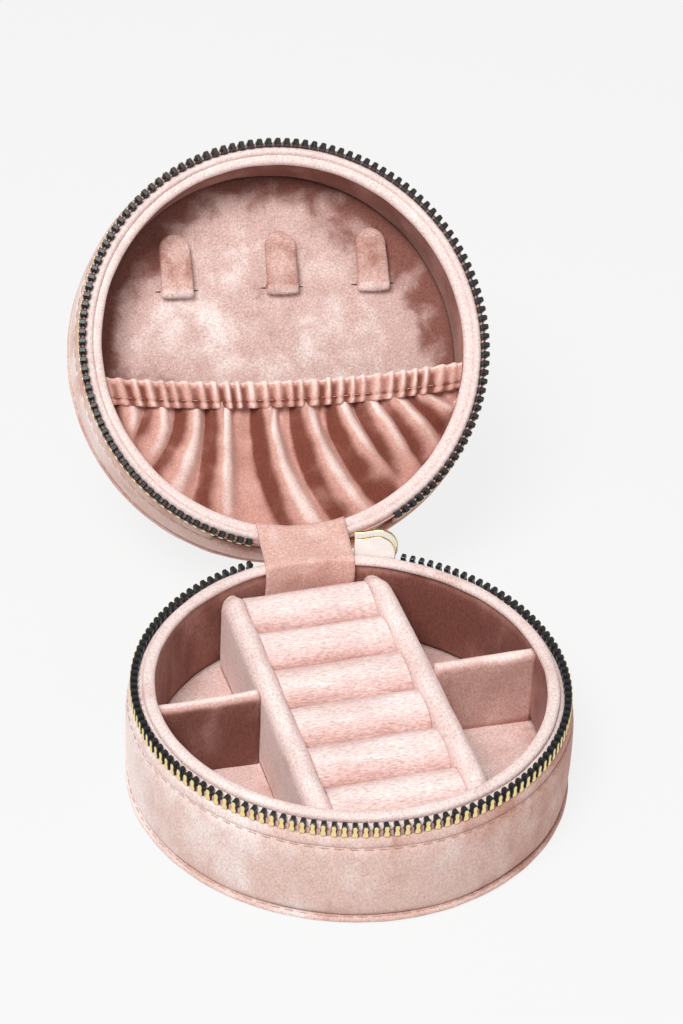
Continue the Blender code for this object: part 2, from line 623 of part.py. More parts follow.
def build_pocket():
    """The elastic hem across the lid and the gathered panel below it."""
    top = LID_LIP_TOP + 2 * GAP
    corner = asin((POCKET_EDGE + POCKET_HEM) / FITTING_RADIUS)
    seam_half = FITTING_RADIUS * cos(corner)
    steps = 12
    seam = [
        (seam_half * (2 * i / steps - 1), pocket_edge(seam_half * (2 * i / steps - 1)) + POCKET_HEM + GAP)
        for i in range(1, steps)
    ]
    first = corner + GAP / FITTING_RADIUS
    rim = [
        (FITTING_RADIUS * cos(first + (pi - 2 * first) * i / 24),
         FITTING_RADIUS * sin(first + (pi - 2 * first) * i / 24))
        for i in range(25)
    ]
    outline = [(x, y, top) for x, y in seam + rim]
    piece("pocket_panel", extruded(outline, (0, 0, POCKET_BULK)), VELVET_DEEP, frame=lid_fittings)

    low = asin(POCKET_EDGE / FITTING_RADIUS)
    edge_half = FITTING_RADIUS * cos(low)
    opening = [
        (edge_half * (2 * i / steps - 1), pocket_edge(edge_half * (2 * i / steps - 1)))
        for i in range(steps + 1)
    ]
    hem_half = FITTING_RADIUS * cos(corner)
    lower = [
        (hem_half * (1 - 2 * i / steps), pocket_edge(hem_half * (1 - 2 * i / steps)) + POCKET_HEM)
        for i in range(steps + 1)
    ]
    outline = [(x, y, top) for x, y in opening + lower]
    piece("pocket_elastic_hem", extruded(outline, (0, 0, HEM_BULK)), VELVET, frame=lid_fittings)


build_base_wall()
build_lid_wall()
build_zip()
build_slider()
build_hinge()
build_insert()
build_hooks()
build_pocket()
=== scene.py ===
"""Looks of a round velvet travel jewellery case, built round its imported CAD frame.

The sections follow the case as it is put together: base, insert, lid, zip, slider.
Lid pieces are shaped in the closed case, where everything is round about Z, and are
then laid open with the lid.
"""
import json
from math import atan2, copysign, cos, degrees, exp, hypot, pi, radians, sin, sqrt

import bmesh
import bpy
from mathutils import Matrix, Vector, noise


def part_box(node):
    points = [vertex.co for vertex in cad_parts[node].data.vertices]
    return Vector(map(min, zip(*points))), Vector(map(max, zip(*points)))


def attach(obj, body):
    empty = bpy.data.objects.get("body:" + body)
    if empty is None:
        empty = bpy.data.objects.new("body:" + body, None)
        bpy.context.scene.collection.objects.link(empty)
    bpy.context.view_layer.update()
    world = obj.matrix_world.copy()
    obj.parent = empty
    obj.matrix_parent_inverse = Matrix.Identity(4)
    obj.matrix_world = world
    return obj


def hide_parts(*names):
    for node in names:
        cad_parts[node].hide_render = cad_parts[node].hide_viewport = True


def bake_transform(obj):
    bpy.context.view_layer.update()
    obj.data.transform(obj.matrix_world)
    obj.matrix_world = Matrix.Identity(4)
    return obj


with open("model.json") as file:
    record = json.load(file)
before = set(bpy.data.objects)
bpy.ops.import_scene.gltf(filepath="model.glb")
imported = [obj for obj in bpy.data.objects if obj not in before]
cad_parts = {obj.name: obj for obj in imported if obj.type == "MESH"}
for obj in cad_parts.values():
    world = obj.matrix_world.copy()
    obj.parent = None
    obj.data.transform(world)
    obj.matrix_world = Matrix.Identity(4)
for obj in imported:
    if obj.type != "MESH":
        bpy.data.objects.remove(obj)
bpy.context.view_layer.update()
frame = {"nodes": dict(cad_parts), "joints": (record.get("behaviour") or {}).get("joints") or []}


# Camera: looks down at the open case from a little left of its front, as it is shown
# on a shelf. A long lens, with a small shift that leaves air below the base.
MM = 0.001
VIEW_TURN = radians(-13.56)
VIEW_HEIGHT = radians(38.17)
VIEW_ROLL = radians(2.99)
VIEW_DISTANCE = 630.6 * MM
VIEW_TARGET = Vector((0, 0, 40 * MM))

back = Vector((sin(VIEW_TURN) * cos(VIEW_HEIGHT), -cos(VIEW_TURN) * cos(VIEW_HEIGHT), sin(VIEW_HEIGHT)))
level = Vector((cos(VIEW_TURN), sin(VIEW_TURN), 0))
upright = back.cross(level)
right = level * cos(VIEW_ROLL) + upright * sin(VIEW_ROLL)
up = upright * cos(VIEW_ROLL) - level * sin(VIEW_ROLL)
lens = bpy.data.cameras.new("camera")
lens.sensor_fit = "VERTICAL"
lens.sensor_height = 24
lens.lens = 64.31
lens.shift_x = -0.012
lens.shift_y = 0.123
lens.clip_start = 0.01
camera = bpy.data.objects.new("camera", lens)
bpy.context.scene.collection.objects.link(camera)
camera.matrix_world = Matrix.Translation(VIEW_TARGET + back * VIEW_DISTANCE) @ Matrix(
    (right, up, back)
).transposed().to_4x4()
bpy.context.scene.camera = camera


# Studio: a pale seamless floor that glows a little, one big soft light high on the
# left, a weaker one from the right, and a white room round them.
FLOOR_SIZE = 30.0

bm = bmesh.new()
bmesh.ops.create_grid(bm, x_segments=2, y_segments=2, size=FLOOR_SIZE / 2)
floor_mesh = bpy.data.meshes.new("floor")
bm.to_mesh(floor_mesh)
bm.free()
floor = bpy.data.objects.new("floor", floor_mesh)
bpy.context.scene.collection.objects.link(floor)
paper = bpy.data.materials.new("floor_paper")
paper.use_nodes = True
paper_shader = paper.node_tree.nodes["Principled BSDF"]
paper_shader.inputs["Base Color"].default_value = (0.10, 0.10, 0.10, 1)
paper_shader.inputs["Roughness"].default_value = 1.0
paper_shader.inputs["Specular IOR Level"].default_value = 0.0
paper_shader.inputs["Emission Color"].default_value = (1.0, 1.0, 1.0, 1)
paper_shader.inputs["Emission Strength"].default_value = 0.82
floor_mesh.materials.append(paper)


def soft_light(name, place, size, power):
    """A square softbox that faces the case."""
    box = bpy.data.lights.new(name, "AREA")
    box.size = size
    box.energy = power
    made = bpy.data.objects.new(name, box)
    bpy.context.scene.collection.objects.link(made)
    made.location = place
    made.rotation_euler = (Vector((0, 0.02, 0.03)) - made.location).to_track_quat("-Z", "Y").to_euler()


soft_light("key_light", Vector((-0.40, -0.50, 1.05)), 0.5, 13.8)
soft_light("fill_light", Vector((0.9, -0.7, 0.7)), 0.9, 1.5)
room = bpy.data.worlds.new("room")
room.use_nodes = True
room.node_tree.nodes["Background"].inputs["Color"].default_value = (1.0, 0.99, 0.985, 1)
room.node_tree.nodes["Background"].inputs["Strength"].default_value = 0.40
bpy.context.scene.world = room
bpy.context.scene.view_settings.view_transform = "Standard"


# Base cover: a velvet strip glued over thin wadding round the board wall. It stands
# off the wall by its own softness, so it bellies a little and never runs quite true.
COVER_ROWS = 16
COVER_BELLY = 0.25 * MM
COVER_STEPS = 220


def ring_of(node, turn=None):
    """(inner radius, outer radius, low, high) of a round CAD node about the case's axis."""
    points = [vert.co if turn is None else turn @ vert.co for vert in frame["nodes"][node].data.vertices]
    radii = [hypot(point.x, point.y) for point in points]
    heights = [point.z for point in points]
    return min(radii), max(radii), min(heights), max(heights)


def rim_angle(point):
    """Angle of a point round the rim, clockwise from the hinge, from 0 to 360 degrees."""
    return degrees(atan2(point.x, point.y)) % 360


def rim_span(node, turn=None):
    """(first, last) angle of a CAD node round the rim."""
    verts = frame["nodes"][node].data.vertices
    angles = [rim_angle(vert.co if turn is None else turn @ vert.co) for vert in verts]
    return min(angles), max(angles)


def dye(red, green, blue):
    """A cloth colour as a dyer's swatch gives it, in the linear values that shaders take."""
    return [((value / 255 + 0.055) / 1.055) ** 2.4 for value in (red, green, blue)] + [1]


def blank_material(name):
    """(material, nodes, links, shader) of a new material."""
    made = bpy.data.materials.new(name)
    made.use_nodes = True
    nodes = made.node_tree.nodes
    return made, nodes, made.node_tree.links, nodes["Principled BSDF"]


def velvet(name, deep, middle, pale, crush=0.5, grain=0.5, lie=(1, 1, 1), sheen=0.35):
    """Short-pile velvet: patches where the pile is laid over, streaks, and a fine woven grain.

    The mesh's per-vertex attribute, from -1 to 1, is painted light and shade: it moves the colour towards the
    deep or the pale dye.
    """
    made, nodes, links, shader = blank_material(name)
    shader.inputs["Roughness"].default_value = 0.95
    shader.inputs["Specular IOR Level"].default_value = 0.15
    shader.inputs["Sheen Weight"].default_value = sheen
    shader.inputs["Sheen Roughness"].default_value = 0.4
    shader.inputs["Sheen Tint"].default_value = dye(250, 226, 220)
    place = nodes.new("ShaderNodeTexCoord").outputs["Object"]
    along = nodes.new("ShaderNodeMapping")
    along.inputs["Scale"].default_value = lie
    links.new(place, along.inputs["Vector"])

    def fibres(size, detail, vector):
        field = nodes.new("ShaderNodeTexNoise")
        field.inputs["Scale"].default_value = 1 / size
        field.inputs["Detail"].default_value = detail
        field.inputs["Distortion"].default_value = 0.3
        links.new(vector, field.inputs["Vector"])
        return field.outputs["Fac"]

    def weighed(value, weight, total):
        sum_node = nodes.new("ShaderNodeMath")
        sum_node.operation = "MULTIPLY_ADD"
        links.new(value, sum_node.inputs[0])
        sum_node.inputs[1].default_value = weight
        if isinstance(total, float):
            sum_node.inputs[2].default_value = total
        else:
            links.new(total, sum_node.inputs[2])
        return sum_node.outputs[0]

    shading_node = nodes.new("ShaderNodeAttribute")
    shading_node.attribute_name = "painted_shading"
    patches = fibres(20 * MM, 1.5, place)
    streaks = fibres(6 * MM, 2.5, along.outputs["Vector"])
    tufts = fibres(0.50 * MM, 2.0, along.outputs["Vector"])
    pile = fibres(0.30 * MM, 1.0, along.outputs["Vector"])
    shade = weighed(patches, 1.7 * crush, 0.5 - 0.5 * 3.1 * crush)
    shade = weighed(streaks, 1.4 * crush, shade)
    # Painted light and shade from the mesh's attribute darkens or pales the velvet here.
    shade = weighed(shading_node.outputs["Fac"], 0.5, shade)
    speckle = weighed(tufts, 2.0 * grain, 1.0 - 0.5 * 3.4 * grain)
    speckle = weighed(pile, 1.4 * grain, speckle)
    ramp = nodes.new("ShaderNodeValToRGB")
    ramp.color_ramp.interpolation = "EASE"
    ramp.color_ramp.elements[0].color = deep
    ramp.color_ramp.elements[1].color = pale
    ramp.color_ramp.elements.new(0.5).color = middle
    links.new(shade, ramp.inputs["Fac"])
    woven = nodes.new("ShaderNodeVectorMath")
    woven.operation = "SCALE"
    links.new(ramp.outputs["Color"], woven.inputs[0])
    links.new(speckle, woven.inputs["Scale"])
    links.new(woven.outputs["Vector"], shader.inputs["Base Color"])
    nap = nodes.new("ShaderNodeBump")
    nap.inputs["Strength"].default_value = 0.5
    nap.inputs["Distance"].default_value = 0.12 * MM
    links.new(weighed(pile, 0.5, tufts), nap.inputs["Height"])
    links.new(nap.outputs["Normal"], shader.inputs["Normal"])
    return made


def turned(profile, start=0.0, end=360.0, steps=COVER_STEPS, closed=True):
    """A body turned about the case's axis from a (radius, height) profile."""
    bm = bmesh.new()
    corners = [bm.verts.new((r * sin(radians(start)), r * cos(radians(start)), z)) for r, z in profile]
    ring = [bm.edges.new(pair) for pair in zip(corners, corners[1:])]
    if closed:
        ring.append(bm.edges.new((corners[-1], corners[0])))
    full = end - start >= 360
    bmesh.ops.spin(
        bm, geom=corners + ring, cent=(0, 0, 0), axis=(0, 0, 1),
        angle=-radians(end - start), steps=steps, use_merge=full,
    )
    if not closed:
        bmesh.ops.remove_doubles(bm, verts=bm.verts, dist=0.001 * MM)
    if not full:
        rims = [edge for edge in bm.edges if edge.is_boundary]
        bmesh.ops.holes_fill(bm, edges=rims, sides=0)
    face_outwards(bm)
    return bm


def face_outwards(bm):
    """Turns every face of a closed body to point out of it."""
    bmesh.ops.recalc_face_normals(bm, faces=bm.faces)
    if bm.calc_volume(signed=True) < 0:
        bmesh.ops.reverse_faces(bm, faces=bm.faces)


def padded_band(inner, outer, low, high, belly, side=1):
    """Profile of a padded strip: a soft face on the outer side, or on the inner for side -1."""
    face, flat = (outer, inner) if side > 0 else (inner, outer)
    profile = []
    for i in range(COVER_ROWS + 1):
        t = i / COVER_ROWS
        edge = 0.7 * MM * abs(2 * t - 1) ** 9
        profile.append((face + side * (belly * sin(pi * t) - edge), low + (high - low) * t))
    return profile + [(flat, high), (flat, low)]


def rumple(bm, height, size, seed):
    """Moves the surface in and out, as cloth over wadding does."""
    bm.normal_update()
    shift = Vector((seed * 7.3, seed * 3.1, seed * 5.7))
    moves = {vert: vert.normal * height * noise.noise(vert.co / size + shift) for vert in bm.verts}
    for vert, move in moves.items():
        vert.co += move


def sewn(name, bm, fabric, body, nodes, turn=None, shading_at=None):
    """Makes a finished piece of the bmesh, on its body and in place of its CAD nodes.

    The function given for the painted light and shade gives its value at a place and normal, before the piece
    is turned.
    """
    # Painted light and shade, stored per vertex for the velvet to read.
    if shading_at:
        bm.normal_update()
        painted_shading = bm.verts.layers.float.new("painted_shading")
        for vert in bm.verts:
            vert[painted_shading] = shading_at(vert.co, vert.normal)
    if turn is not None:
        bm.transform(turn)
    mesh = bpy.data.meshes.new(name)
    bm.to_mesh(mesh)
    bm.free()
    mesh.shade_smooth()
    for cloth in fabric if isinstance(fabric, list) else [fabric]:
        mesh.materials.append(cloth)
    made = bpy.data.objects.new(name, mesh)
    bpy.context.scene.collection.objects.link(made)
    if body:
        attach(made, body)
    if nodes:
        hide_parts(*nodes)
    return made


def cover_painted_light(place, normal):
    """Painted light and shade: the cover is pale on the left of the case, towards the key light, and dark on
    its right.
    """
    return 0.75 * cos(radians(rim_angle(place) - 265)) - 0.15


COVER_VELVET = velvet(
    "cover_velvet", dye(184, 136, 122), dye(212, 180, 170), dye(230, 215, 210),
    crush=0.6, grain=0.35, lie=(1, 1, 0.7),
)
inner, cover_radius, low, high = ring_of("base_outer_cover")
bm = turned(padded_band(inner, cover_radius, low, high + 0.2 * MM, COVER_BELLY))
rumple(bm, 0.22 * MM, 13 * MM, 1)
cover = sewn(
    "base_cover_velvet", bm, COVER_VELVET, "base", ["base_outer_cover"], shading_at=cover_painted_light,
)


# Base hem: the cover's top edge, folded in over the zip tape and stitched down. The
# stitches pull a crease between the hem and the cover.
HEM_SWELL = 0.45 * MM
STITCH_LENGTH = 2.5 * MM
STITCH_GAP = 0.8 * MM
STITCH_THICKNESS = 0.20 * MM


def stitches(path_length, point_at, name, thread, body, turn=None, length=STITCH_LENGTH):
    """A row of sewn stitches. point_at gives (place, direction) at a distance along the seam."""
    bm = bmesh.new()
    count = int(path_length / (length + STITCH_GAP))
    for i in range(count):
        place, direction = point_at((i + 0.5) * path_length / count)
        start = len(bm.verts)
        bmesh.ops.create_icosphere(bm, subdivisions=1, radius=1.0)
        bm.verts.ensure_lookup_table()
        size = Matrix.Diagonal((STITCH_THICKNESS / 2, STITCH_THICKNESS / 2, length / 2, 1))
        lay = direction.to_track_quat("Z", "Y").to_matrix().to_4x4()
        bmesh.ops.transform(bm, matrix=Matrix.Translation(place) @ lay @ size, verts=bm.verts[start:])
    return sewn(name, bm, thread, body, [], turn)


def round_seam(radius, height):
    """Distance along a round seam to (place, direction), from the hinge clockwise."""
    def at(distance):
        angle = distance / radius
        place = Vector((radius * sin(angle), radius * cos(angle), height))
        return place, Vector((cos(angle), -sin(angle), 0))
    return at


def folded_hem(inner, outer, seam, edge):
    """Profile of a folded hem, from its stitched seam to its free edge."""
    rise = MM if edge > seam else -MM
    return [
        (inner, seam), (outer + HEM_SWELL * 0.5, seam - 0.15 * rise), (outer + HEM_SWELL, seam + 0.4 * rise),
        (outer + HEM_SWELL * 0.9, seam + 1.1 * rise), (outer + HEM_SWELL * 0.3, seam + 1.9 * rise),
        (outer - 0.1 * MM, edge - 0.1 * rise), (outer - 0.4 * MM, edge + 0.1 * rise), (inner, edge),
    ]


def two_tone(nodes, links, shader, field, colour, dark):
    """Colours a shader from a darker share of a colour up to the colour itself, by a field."""
    ramp = nodes.new("ShaderNodeValToRGB")
    ramp.color_ramp.elements[0].color = [value * dark for value in colour[:3]] + [1]
    ramp.color_ramp.elements[1].color = colour
    links.new(field.outputs["Fac"], ramp.inputs["Fac"])
    links.new(ramp.outputs["Color"], shader.inputs["Base Color"])


def spun_thread(name, colour):
    """Sewing thread, twisted finely along its length."""
    made, nodes, links, shader = blank_material(name)
    shader.inputs["Roughness"].default_value = 0.6
    twist = nodes.new("ShaderNodeTexWave")
    twist.inputs["Scale"].default_value = 900
    twist.inputs["Distortion"].default_value = 2.0
    links.new(nodes.new("ShaderNodeTexCoord").outputs["Object"], twist.inputs["Vector"])
    two_tone(nodes, links, shader, twist, colour, 0.6)
    return made


THREAD = spun_thread("rose_thread", dye(214, 174, 164))
inner, outer, low, high = ring_of("base_rim_hem")
bm = turned(folded_hem(inner, outer, low, high))
rumple(bm, 0.12 * MM, 8 * MM, 2)
hem = sewn("base_hem_velvet", bm, COVER_VELVET, "base", ["base_rim_hem"], shading_at=cover_painted_light)
seam_radius = cover_radius - 0.35 * MM
stitches(2 * pi * seam_radius, round_seam(seam_radius, low - 0.25 * MM), "base_hem_stitches", THREAD, "base")


# Bottom: a velvet-covered round board, with a narrow turned welt where it meets the
# cover. The welt's seam is sewn all the way round.
PANEL_EASE = 0.5 * MM


def cushion_disc(radius, low, high, edge, dome, rings):
    """Open profile, from centre to centre, of a round pad with soft edges and a slight dome."""
    top = []
    for i in range(rings + 1):
        t = i / rings
        fall = edge * max(0.0, (t - 0.94) / 0.06) ** 2
        top.append((radius * t, high + dome * (1 - t * t) - fall))
    return top + [(radius, low + edge / 2), (radius - edge, low), (0, low)]


BOTTOM_VELVET = velvet(
    "bottom_velvet", dye(176, 124, 110), dye(212, 170, 159), dye(232, 202, 194), grain=0.4,
)
welt_inner, welt_outer, welt_low, welt_high = ring_of("base_bottom_welt")
inner, outer, low, high = ring_of("base_bottom_panel")
bm = turned(cushion_disc(outer, low, high, PANEL_EASE, 0, rings=12), closed=False)
panel = sewn("bottom_panel_velvet", bm, BOTTOM_VELVET, "base", ["base_bottom_panel"])


def roll_profile(inner, outer, low, high, points=20, square=2.6):
    """Profile of a stuffed roll, rounder or squarer by its power."""
    middle, half = ((inner + outer) / 2, (low + high) / 2), ((outer - inner) / 2, (high - low) / 2)
    profile = []
    for i in range(points):
        turn = 2 * pi * i / points
        c, s = cos(turn), sin(turn)
        profile.append((
            middle[0] + half[0] * copysign(abs(c) ** (2 / square), c),
            middle[1] + half[1] * copysign(abs(s) ** (2 / square), s),
        ))
    return profile


bm = turned(roll_profile(welt_inner, welt_outer, welt_low, welt_high), steps=260)
rumple(bm, 0.12 * MM, 5 * MM, 3)
welt = sewn(
    "bottom_welt_velvet", bm, COVER_VELVET, "base", ["base_bottom_welt"], shading_at=cover_painted_light,
)
stitch_ring = round_seam(cover_radius - 0.15 * MM, welt_high + 0.15 * MM)
stitches(2 * pi * cover_radius, stitch_ring, "bottom_seam_stitches", THREAD, "base")


# Board and wadding: the stiff shell and the padding inside the wall. Only their
# edges could ever show.
def pressed_board(name, colour, speck):
    """Grey board or wadding, mottled by its fibres."""
    made, nodes, links, shader = blank_material(name)
    shader.inputs["Roughness"].default_value = 0.9
    fibre = nodes.new("ShaderNodeTexNoise")
    fibre.inputs["Scale"].default_value = 1 / speck
    fibre.inputs["Detail"].default_value = 4
    links.new(nodes.new("ShaderNodeTexCoord").outputs["Object"], fibre.inputs["Vector"])
    two_tone(nodes, links, shader, fibre, colour, 0.7)
    rough = nodes.new("ShaderNodeBump")
    rough.inputs["Strength"].default_value = 0.3
    rough.inputs["Distance"].default_value = 0.1 * MM
    links.new(fibre.outputs["Fac"], rough.inputs["Height"])
    links.new(rough.outputs["Normal"], shader.inputs["Normal"])
    return made


def dress(node, finish):
    """Gives a CAD node that stays as it is its finish."""
    mesh = frame["nodes"][node].data
    mesh.materials.clear()
    mesh.materials.append(finish)


BOARD = pressed_board("grey_board", dye(176, 166, 152), 1.5 * MM)
WADDING = pressed_board("wadding", dye(236, 230, 220), 2.5 * MM)
for half in ("base", "lid"):
    dress(f"{half}_shell", BOARD)
    dress(f"{half}_padding", WADDING)


# Base lining: velvet on the inside of the wall, its pile lying down; its darker colours are also painted
# shade inside the wall.
SHADED_LINING_VELVET = velvet(
    "lining_velvet", dye(126, 77, 67), dye(176, 129, 118), dye(230, 200, 192),
    crush=0.4, grain=0.4, lie=(1, 1, 0.5), sheen=0.2,
)


def lining_painted_shade(place, normal):
    """Painted shade and light: dark on the far right, less so on the left, and a painted highlight just under
    the lip.
    """
    under_lip = max(0.0, 1 - (lining_top - place.z) / (2.5 * MM))
    return -0.55 - 0.3 * cos(radians(rim_angle(place) - 50)) + 0.7 * under_lip


inner, outer, low, high = ring_of("base_lining")
lining_top = high
bm = turned(padded_band(inner, outer, low, high, 0.15 * MM, side=-1), steps=180)
rumple(bm, 0.2 * MM, 11 * MM, 4)
lining = sewn(
    "base_lining_velvet", bm, SHADED_LINING_VELVET, "base", ["base_lining"], shading_at=lining_painted_shade,
)


# Base floor: a thin foam pad covered in velvet, pressed down inside the wall. Its
# pile stands up, so it is pale.
FLOOR_VELVET = velvet(
    "floor_velvet", dye(190, 142, 131), dye(226, 195, 187), dye(240, 220, 215),
    crush=0.8, grain=0.4, sheen=0.3,
)
inner, outer, low, high = ring_of("base_floor_pad")
bm = turned(cushion_disc(outer, low, high + 0.3 * MM, 0.1 * MM, 0.25 * MM, rings=40), closed=False)
rumple(bm, 0.3 * MM, 14 * MM, 5)


def floor_tone(place, normal):
    """Pale on the left, and darker towards the right."""
    return 0.35 - 0.6 * max(0.0, place.x / (40 * MM))


floor_pad = sewn(
    "base_floor_velvet", bm, FLOOR_VELVET, "base", ["base_floor_pad"], shading_at=floor_tone,
)


# Base lip: a fat velvet roll round the mouth, over a cord, which hides the board's
# edge inside the zip.
LIP_SWELL = 0.1 * MM
LIP_SQUARE = 2.3
LIP_VELVET = velvet(
    "lip_velvet", dye(204, 164, 155), dye(231, 210, 205), dye(243, 229, 225),
    crush=0.4, grain=0.4, sheen=0.4,
)
inner, outer, low, high = ring_of("base_lip_piping")
roll = roll_profile(inner - LIP_SWELL, outer + LIP_SWELL, low - 0.3 * MM, high + LIP_SWELL, square=LIP_SQUARE)
bm = turned(roll, steps=260)
rumple(bm, 0.14 * MM, 6 * MM, 6)
sewn("base_lip_velvet", bm, LIP_VELVET, "base", ["base_lip_piping"])


# Insert walls: two long padded walls across the case, covered in one piece of velvet
# each, rounded over the top and tucked in at both ends.
INSERT = Matrix.Rotation(radians(4.7), 4, "Z")
WALL_STATIONS = 60
WALL_END_ROUND = 2.2 * MM
WALL_END_DROP = 2.4 * MM
WALL_CREST = 9 * MM


def box_in(node, turn):
    """(lowest, highest) corner of a CAD node in a turned frame."""
    points = [turn.inverted() @ vert.co for vert in frame["nodes"][node].data.vertices]
    low = Vector([min(point[i] for point in points) for i in range(3)])
    return low, Vector([max(point[i] for point in points) for i in range(3)])


def skin(bm, rings):
    """Closes a body over rings of verts, with a face over each end."""
    for first, second in zip(rings, rings[1:]):
        for i in range(len(first)):
            bm.faces.new((first[i - 1], first[i], second[i], second[i - 1]))
    bm.faces.new(rings[0])
    bm.faces.new(rings[-1])
    face_outwards(bm)


def crowded(count):
    """Stations from -1 to 1, closer together towards both ends."""
    return [sin(pi / 2 * (2 * i / count - 1)) for i in range(count + 1)]


def padded_slab(section, place, stations):
    """A stuffed bar: a closed section carried along stations, each point set by place."""
    bm = bmesh.new()
    skin(bm, [[bm.verts.new(place(point, station)) for point in section] for station in stations])
    return bm


def arch(half_width, low, high, steps=14, square=2.0, rise=1.0):
    """Section of an upright padded bar with a round top: points (across, height)."""
    crown = []
    centre = high - half_width * rise
    for i in range(steps + 1):
        c, s = cos(pi * i / steps), sin(pi * i / steps)
        across = half_width * copysign(abs(c) ** (2 / square), c)
        crown.append((across, centre + half_width * rise * max(0.0, s) ** (2 / square)))
    rises = [low + (centre - low) * i / 8 for i in range(8)]
    left = [(-half_width, z) for z in reversed(rises)]
    return [(half_width, z) for z in rises] + crown + left


def crest_painted_light(place, normal):
    """Painted light: padded bars are paler along the top, where light from above falls."""
    return 0.55 * max(0.0, normal.z) ** 2 - 0.1


WALL_VELVET = velvet(
    "wall_velvet", dye(200, 160, 150), dye(229, 203, 197), dye(245, 230, 226),
    crush=0.4, grain=0.4, lie=(1, 0.6, 1), sheen=0.4,
)
lining_radius = ring_of("base_lining")[0]
for side in ("left", "right"):
    low, high = box_in(f"long_wall_{side}", INSERT)
    middle, half = (low.x + high.x) / 2, (high.x - low.x) / 2

    def on_wall(point, t, middle=middle, high=high):
        x = middle + point[0]
        reach = sqrt((lining_radius - 0.1 * MM) ** 2 - x * x)
        y = t * reach
        left_over = (reach - abs(y)) / WALL_END_ROUND
        near_top = max(0.0, (point[1] - high.z + WALL_CREST) / WALL_CREST)
        drop = WALL_END_DROP * exp(-left_over * left_over * 0.5) * near_top
        pinch = 1 - 0.25 * exp(-left_over * left_over * 3)
        return Vector((middle + point[0] * pinch, y, point[1] - drop))

    bm = padded_slab(arch(half, low.z, high.z), on_wall, crowded(WALL_STATIONS))
    rumple(bm, 0.3 * MM, 10 * MM, 7 if side == "left" else 8)
    wall = sewn(
        f"long_wall_velvet_{side}", bm, WALL_VELVET, "base", [f"long_wall_{side}"],
        INSERT, crest_painted_light,
    )


# Ring rolls: six foam rolls, each wrapped in velvet, set side by side between the
# walls. A ring sits in the crease between two rolls.
ROLL_STATIONS = 30
ROLL_PITCH = 14.4 * MM
ROLL_HALF_WIDTH = 7.1 * MM
ROLL_RISE = 0.7
ROLL_END_PLAY = 0.25 * MM
ROLL_VELVET = velvet(
    "roll_velvet", dye(202, 154, 144), dye(225, 194, 188), dye(243, 224, 220),
    crush=0.4, grain=0.55, lie=(0.35, 1.6, 1),
)


def roll_painted_light(place, normal):
    """Painted light and shade: each roll has a painted highlight along its crest, and painted shade on its
    front flank.
    """
    return 0.9 * max(0.0, normal.z) ** 10 - 0.2 - 0.3 * max(0.0, -normal.y)


for number in range(1, 7):
    low, high = box_in(f"ring_roll_{number}", INSERT)
    middle = (3.5 - number) * ROLL_PITCH
    reach = high.x

    def on_roll(point, t, middle=middle, reach=reach):
        x = t * (reach + ROLL_END_PLAY)
        limit = sqrt(max(0.0, (lining_radius - 1.6 * MM) ** 2 - x * x))
        y = max(-limit, min(limit, middle + point[0]))
        return Vector((x, y, point[1]))

    section = arch(ROLL_HALF_WIDTH, low.z, high.z, steps=36, square=2.5, rise=ROLL_RISE)
    bm = padded_slab(section, on_roll, crowded(ROLL_STATIONS))
    rumple(bm, 0.2 * MM, 11 * MM, 10 + number)
    roll = sewn(
        f"ring_roll_velvet_{number}", bm, ROLL_VELVET, "base", [f"ring_roll_{number}"],
        INSERT, roll_painted_light,
    )


# Cross dividers: a short padded divider on each side, from the long wall to the
# lining. They make two trays of each side.
DIVIDER_VELVET = velvet(
    "divider_velvet", dye(124, 78, 68), dye(206, 164, 154), dye(244, 220, 213),
    crush=0.3, grain=0.4, lie=(1, 1, 0.6), sheen=0.3,
)
for side, sign in (("left", -1), ("right", 1)):
    low, high = box_in(f"cross_divider_{side}", INSERT)
    middle, half = (low.y + high.y) / 2, (high.y - low.y) / 2
    near = high.x if sign < 0 else low.x

    def on_divider(point, t, middle=middle, near=near, sign=sign):
        y = middle + point[0]
        far = sign * sqrt((lining_radius + 0.2 * MM) ** 2 - y * y)
        bow = 0.35 * MM * sin(pi * t)
        return Vector((near + (far - near) * t, y + bow, point[1] - 0.5 * MM * sin(pi * t)))

    bm = padded_slab(arch(half, low.z, high.z, steps=10), on_divider, [i / 24 for i in range(25)])
    rumple(bm, 0.3 * MM, 8 * MM, 20 + sign)

    def divider_painted_light(place, normal, front=-0.9 if side == "left" else 0.0):
        """Painted light and shade: pale along the top, the left divider's front painted dark as shade, the
        right one's half way.
        """
        return 0.9 * max(0.0, normal.z) ** 2 + front * max(0.0, -normal.y)

    divider = sewn(
        f"cross_divider_velvet_{side}", bm, DIVIDER_VELVET, "base", [f"cross_divider_{side}"],
        INSERT, divider_painted_light,
    )


# Lid wall: built like the base's wall, upside down, with a top panel, a welt, and a
# hem over the lid's zip tape. It is shaped closed and laid open with the lid.
lid_joint = next(joint for joint in frame["joints"] if joint["name"] == "lid_hinge")
hinge_line = Vector(lid_joint["pos_m"])
OPEN_TURN = Matrix.Rotation(-radians(lid_joint["range_deg"][1]), 4, "X")
OPEN = Matrix.Translation(hinge_line) @ OPEN_TURN @ Matrix.Translation(-hinge_line)
SHUT = OPEN.inverted()

inner, outer, low, high = ring_of("lid_outer_cover", SHUT)
bm = turned(padded_band(inner, outer, low - 0.2 * MM, high, COVER_BELLY))
rumple(bm, 0.22 * MM, 13 * MM, 31)
cover = sewn(
    "lid_cover_velvet", bm, COVER_VELVET, "lid", ["lid_outer_cover"], OPEN, cover_painted_light,
)

first, last = rim_span("lid_rim_hem", SHUT)
inner, outer, low, high = ring_of("lid_rim_hem", SHUT)
bm = turned(folded_hem(inner, outer, high, low), first, last)
rumple(bm, 0.12 * MM, 8 * MM, 32)
sewn("lid_hem_velvet", bm, COVER_VELVET, "lid", ["lid_rim_hem"], OPEN)
seam = round_seam(seam_radius, high + 0.25 * MM)
stitches(2 * pi * seam_radius, seam, "lid_hem_stitches", THREAD, "lid", OPEN)

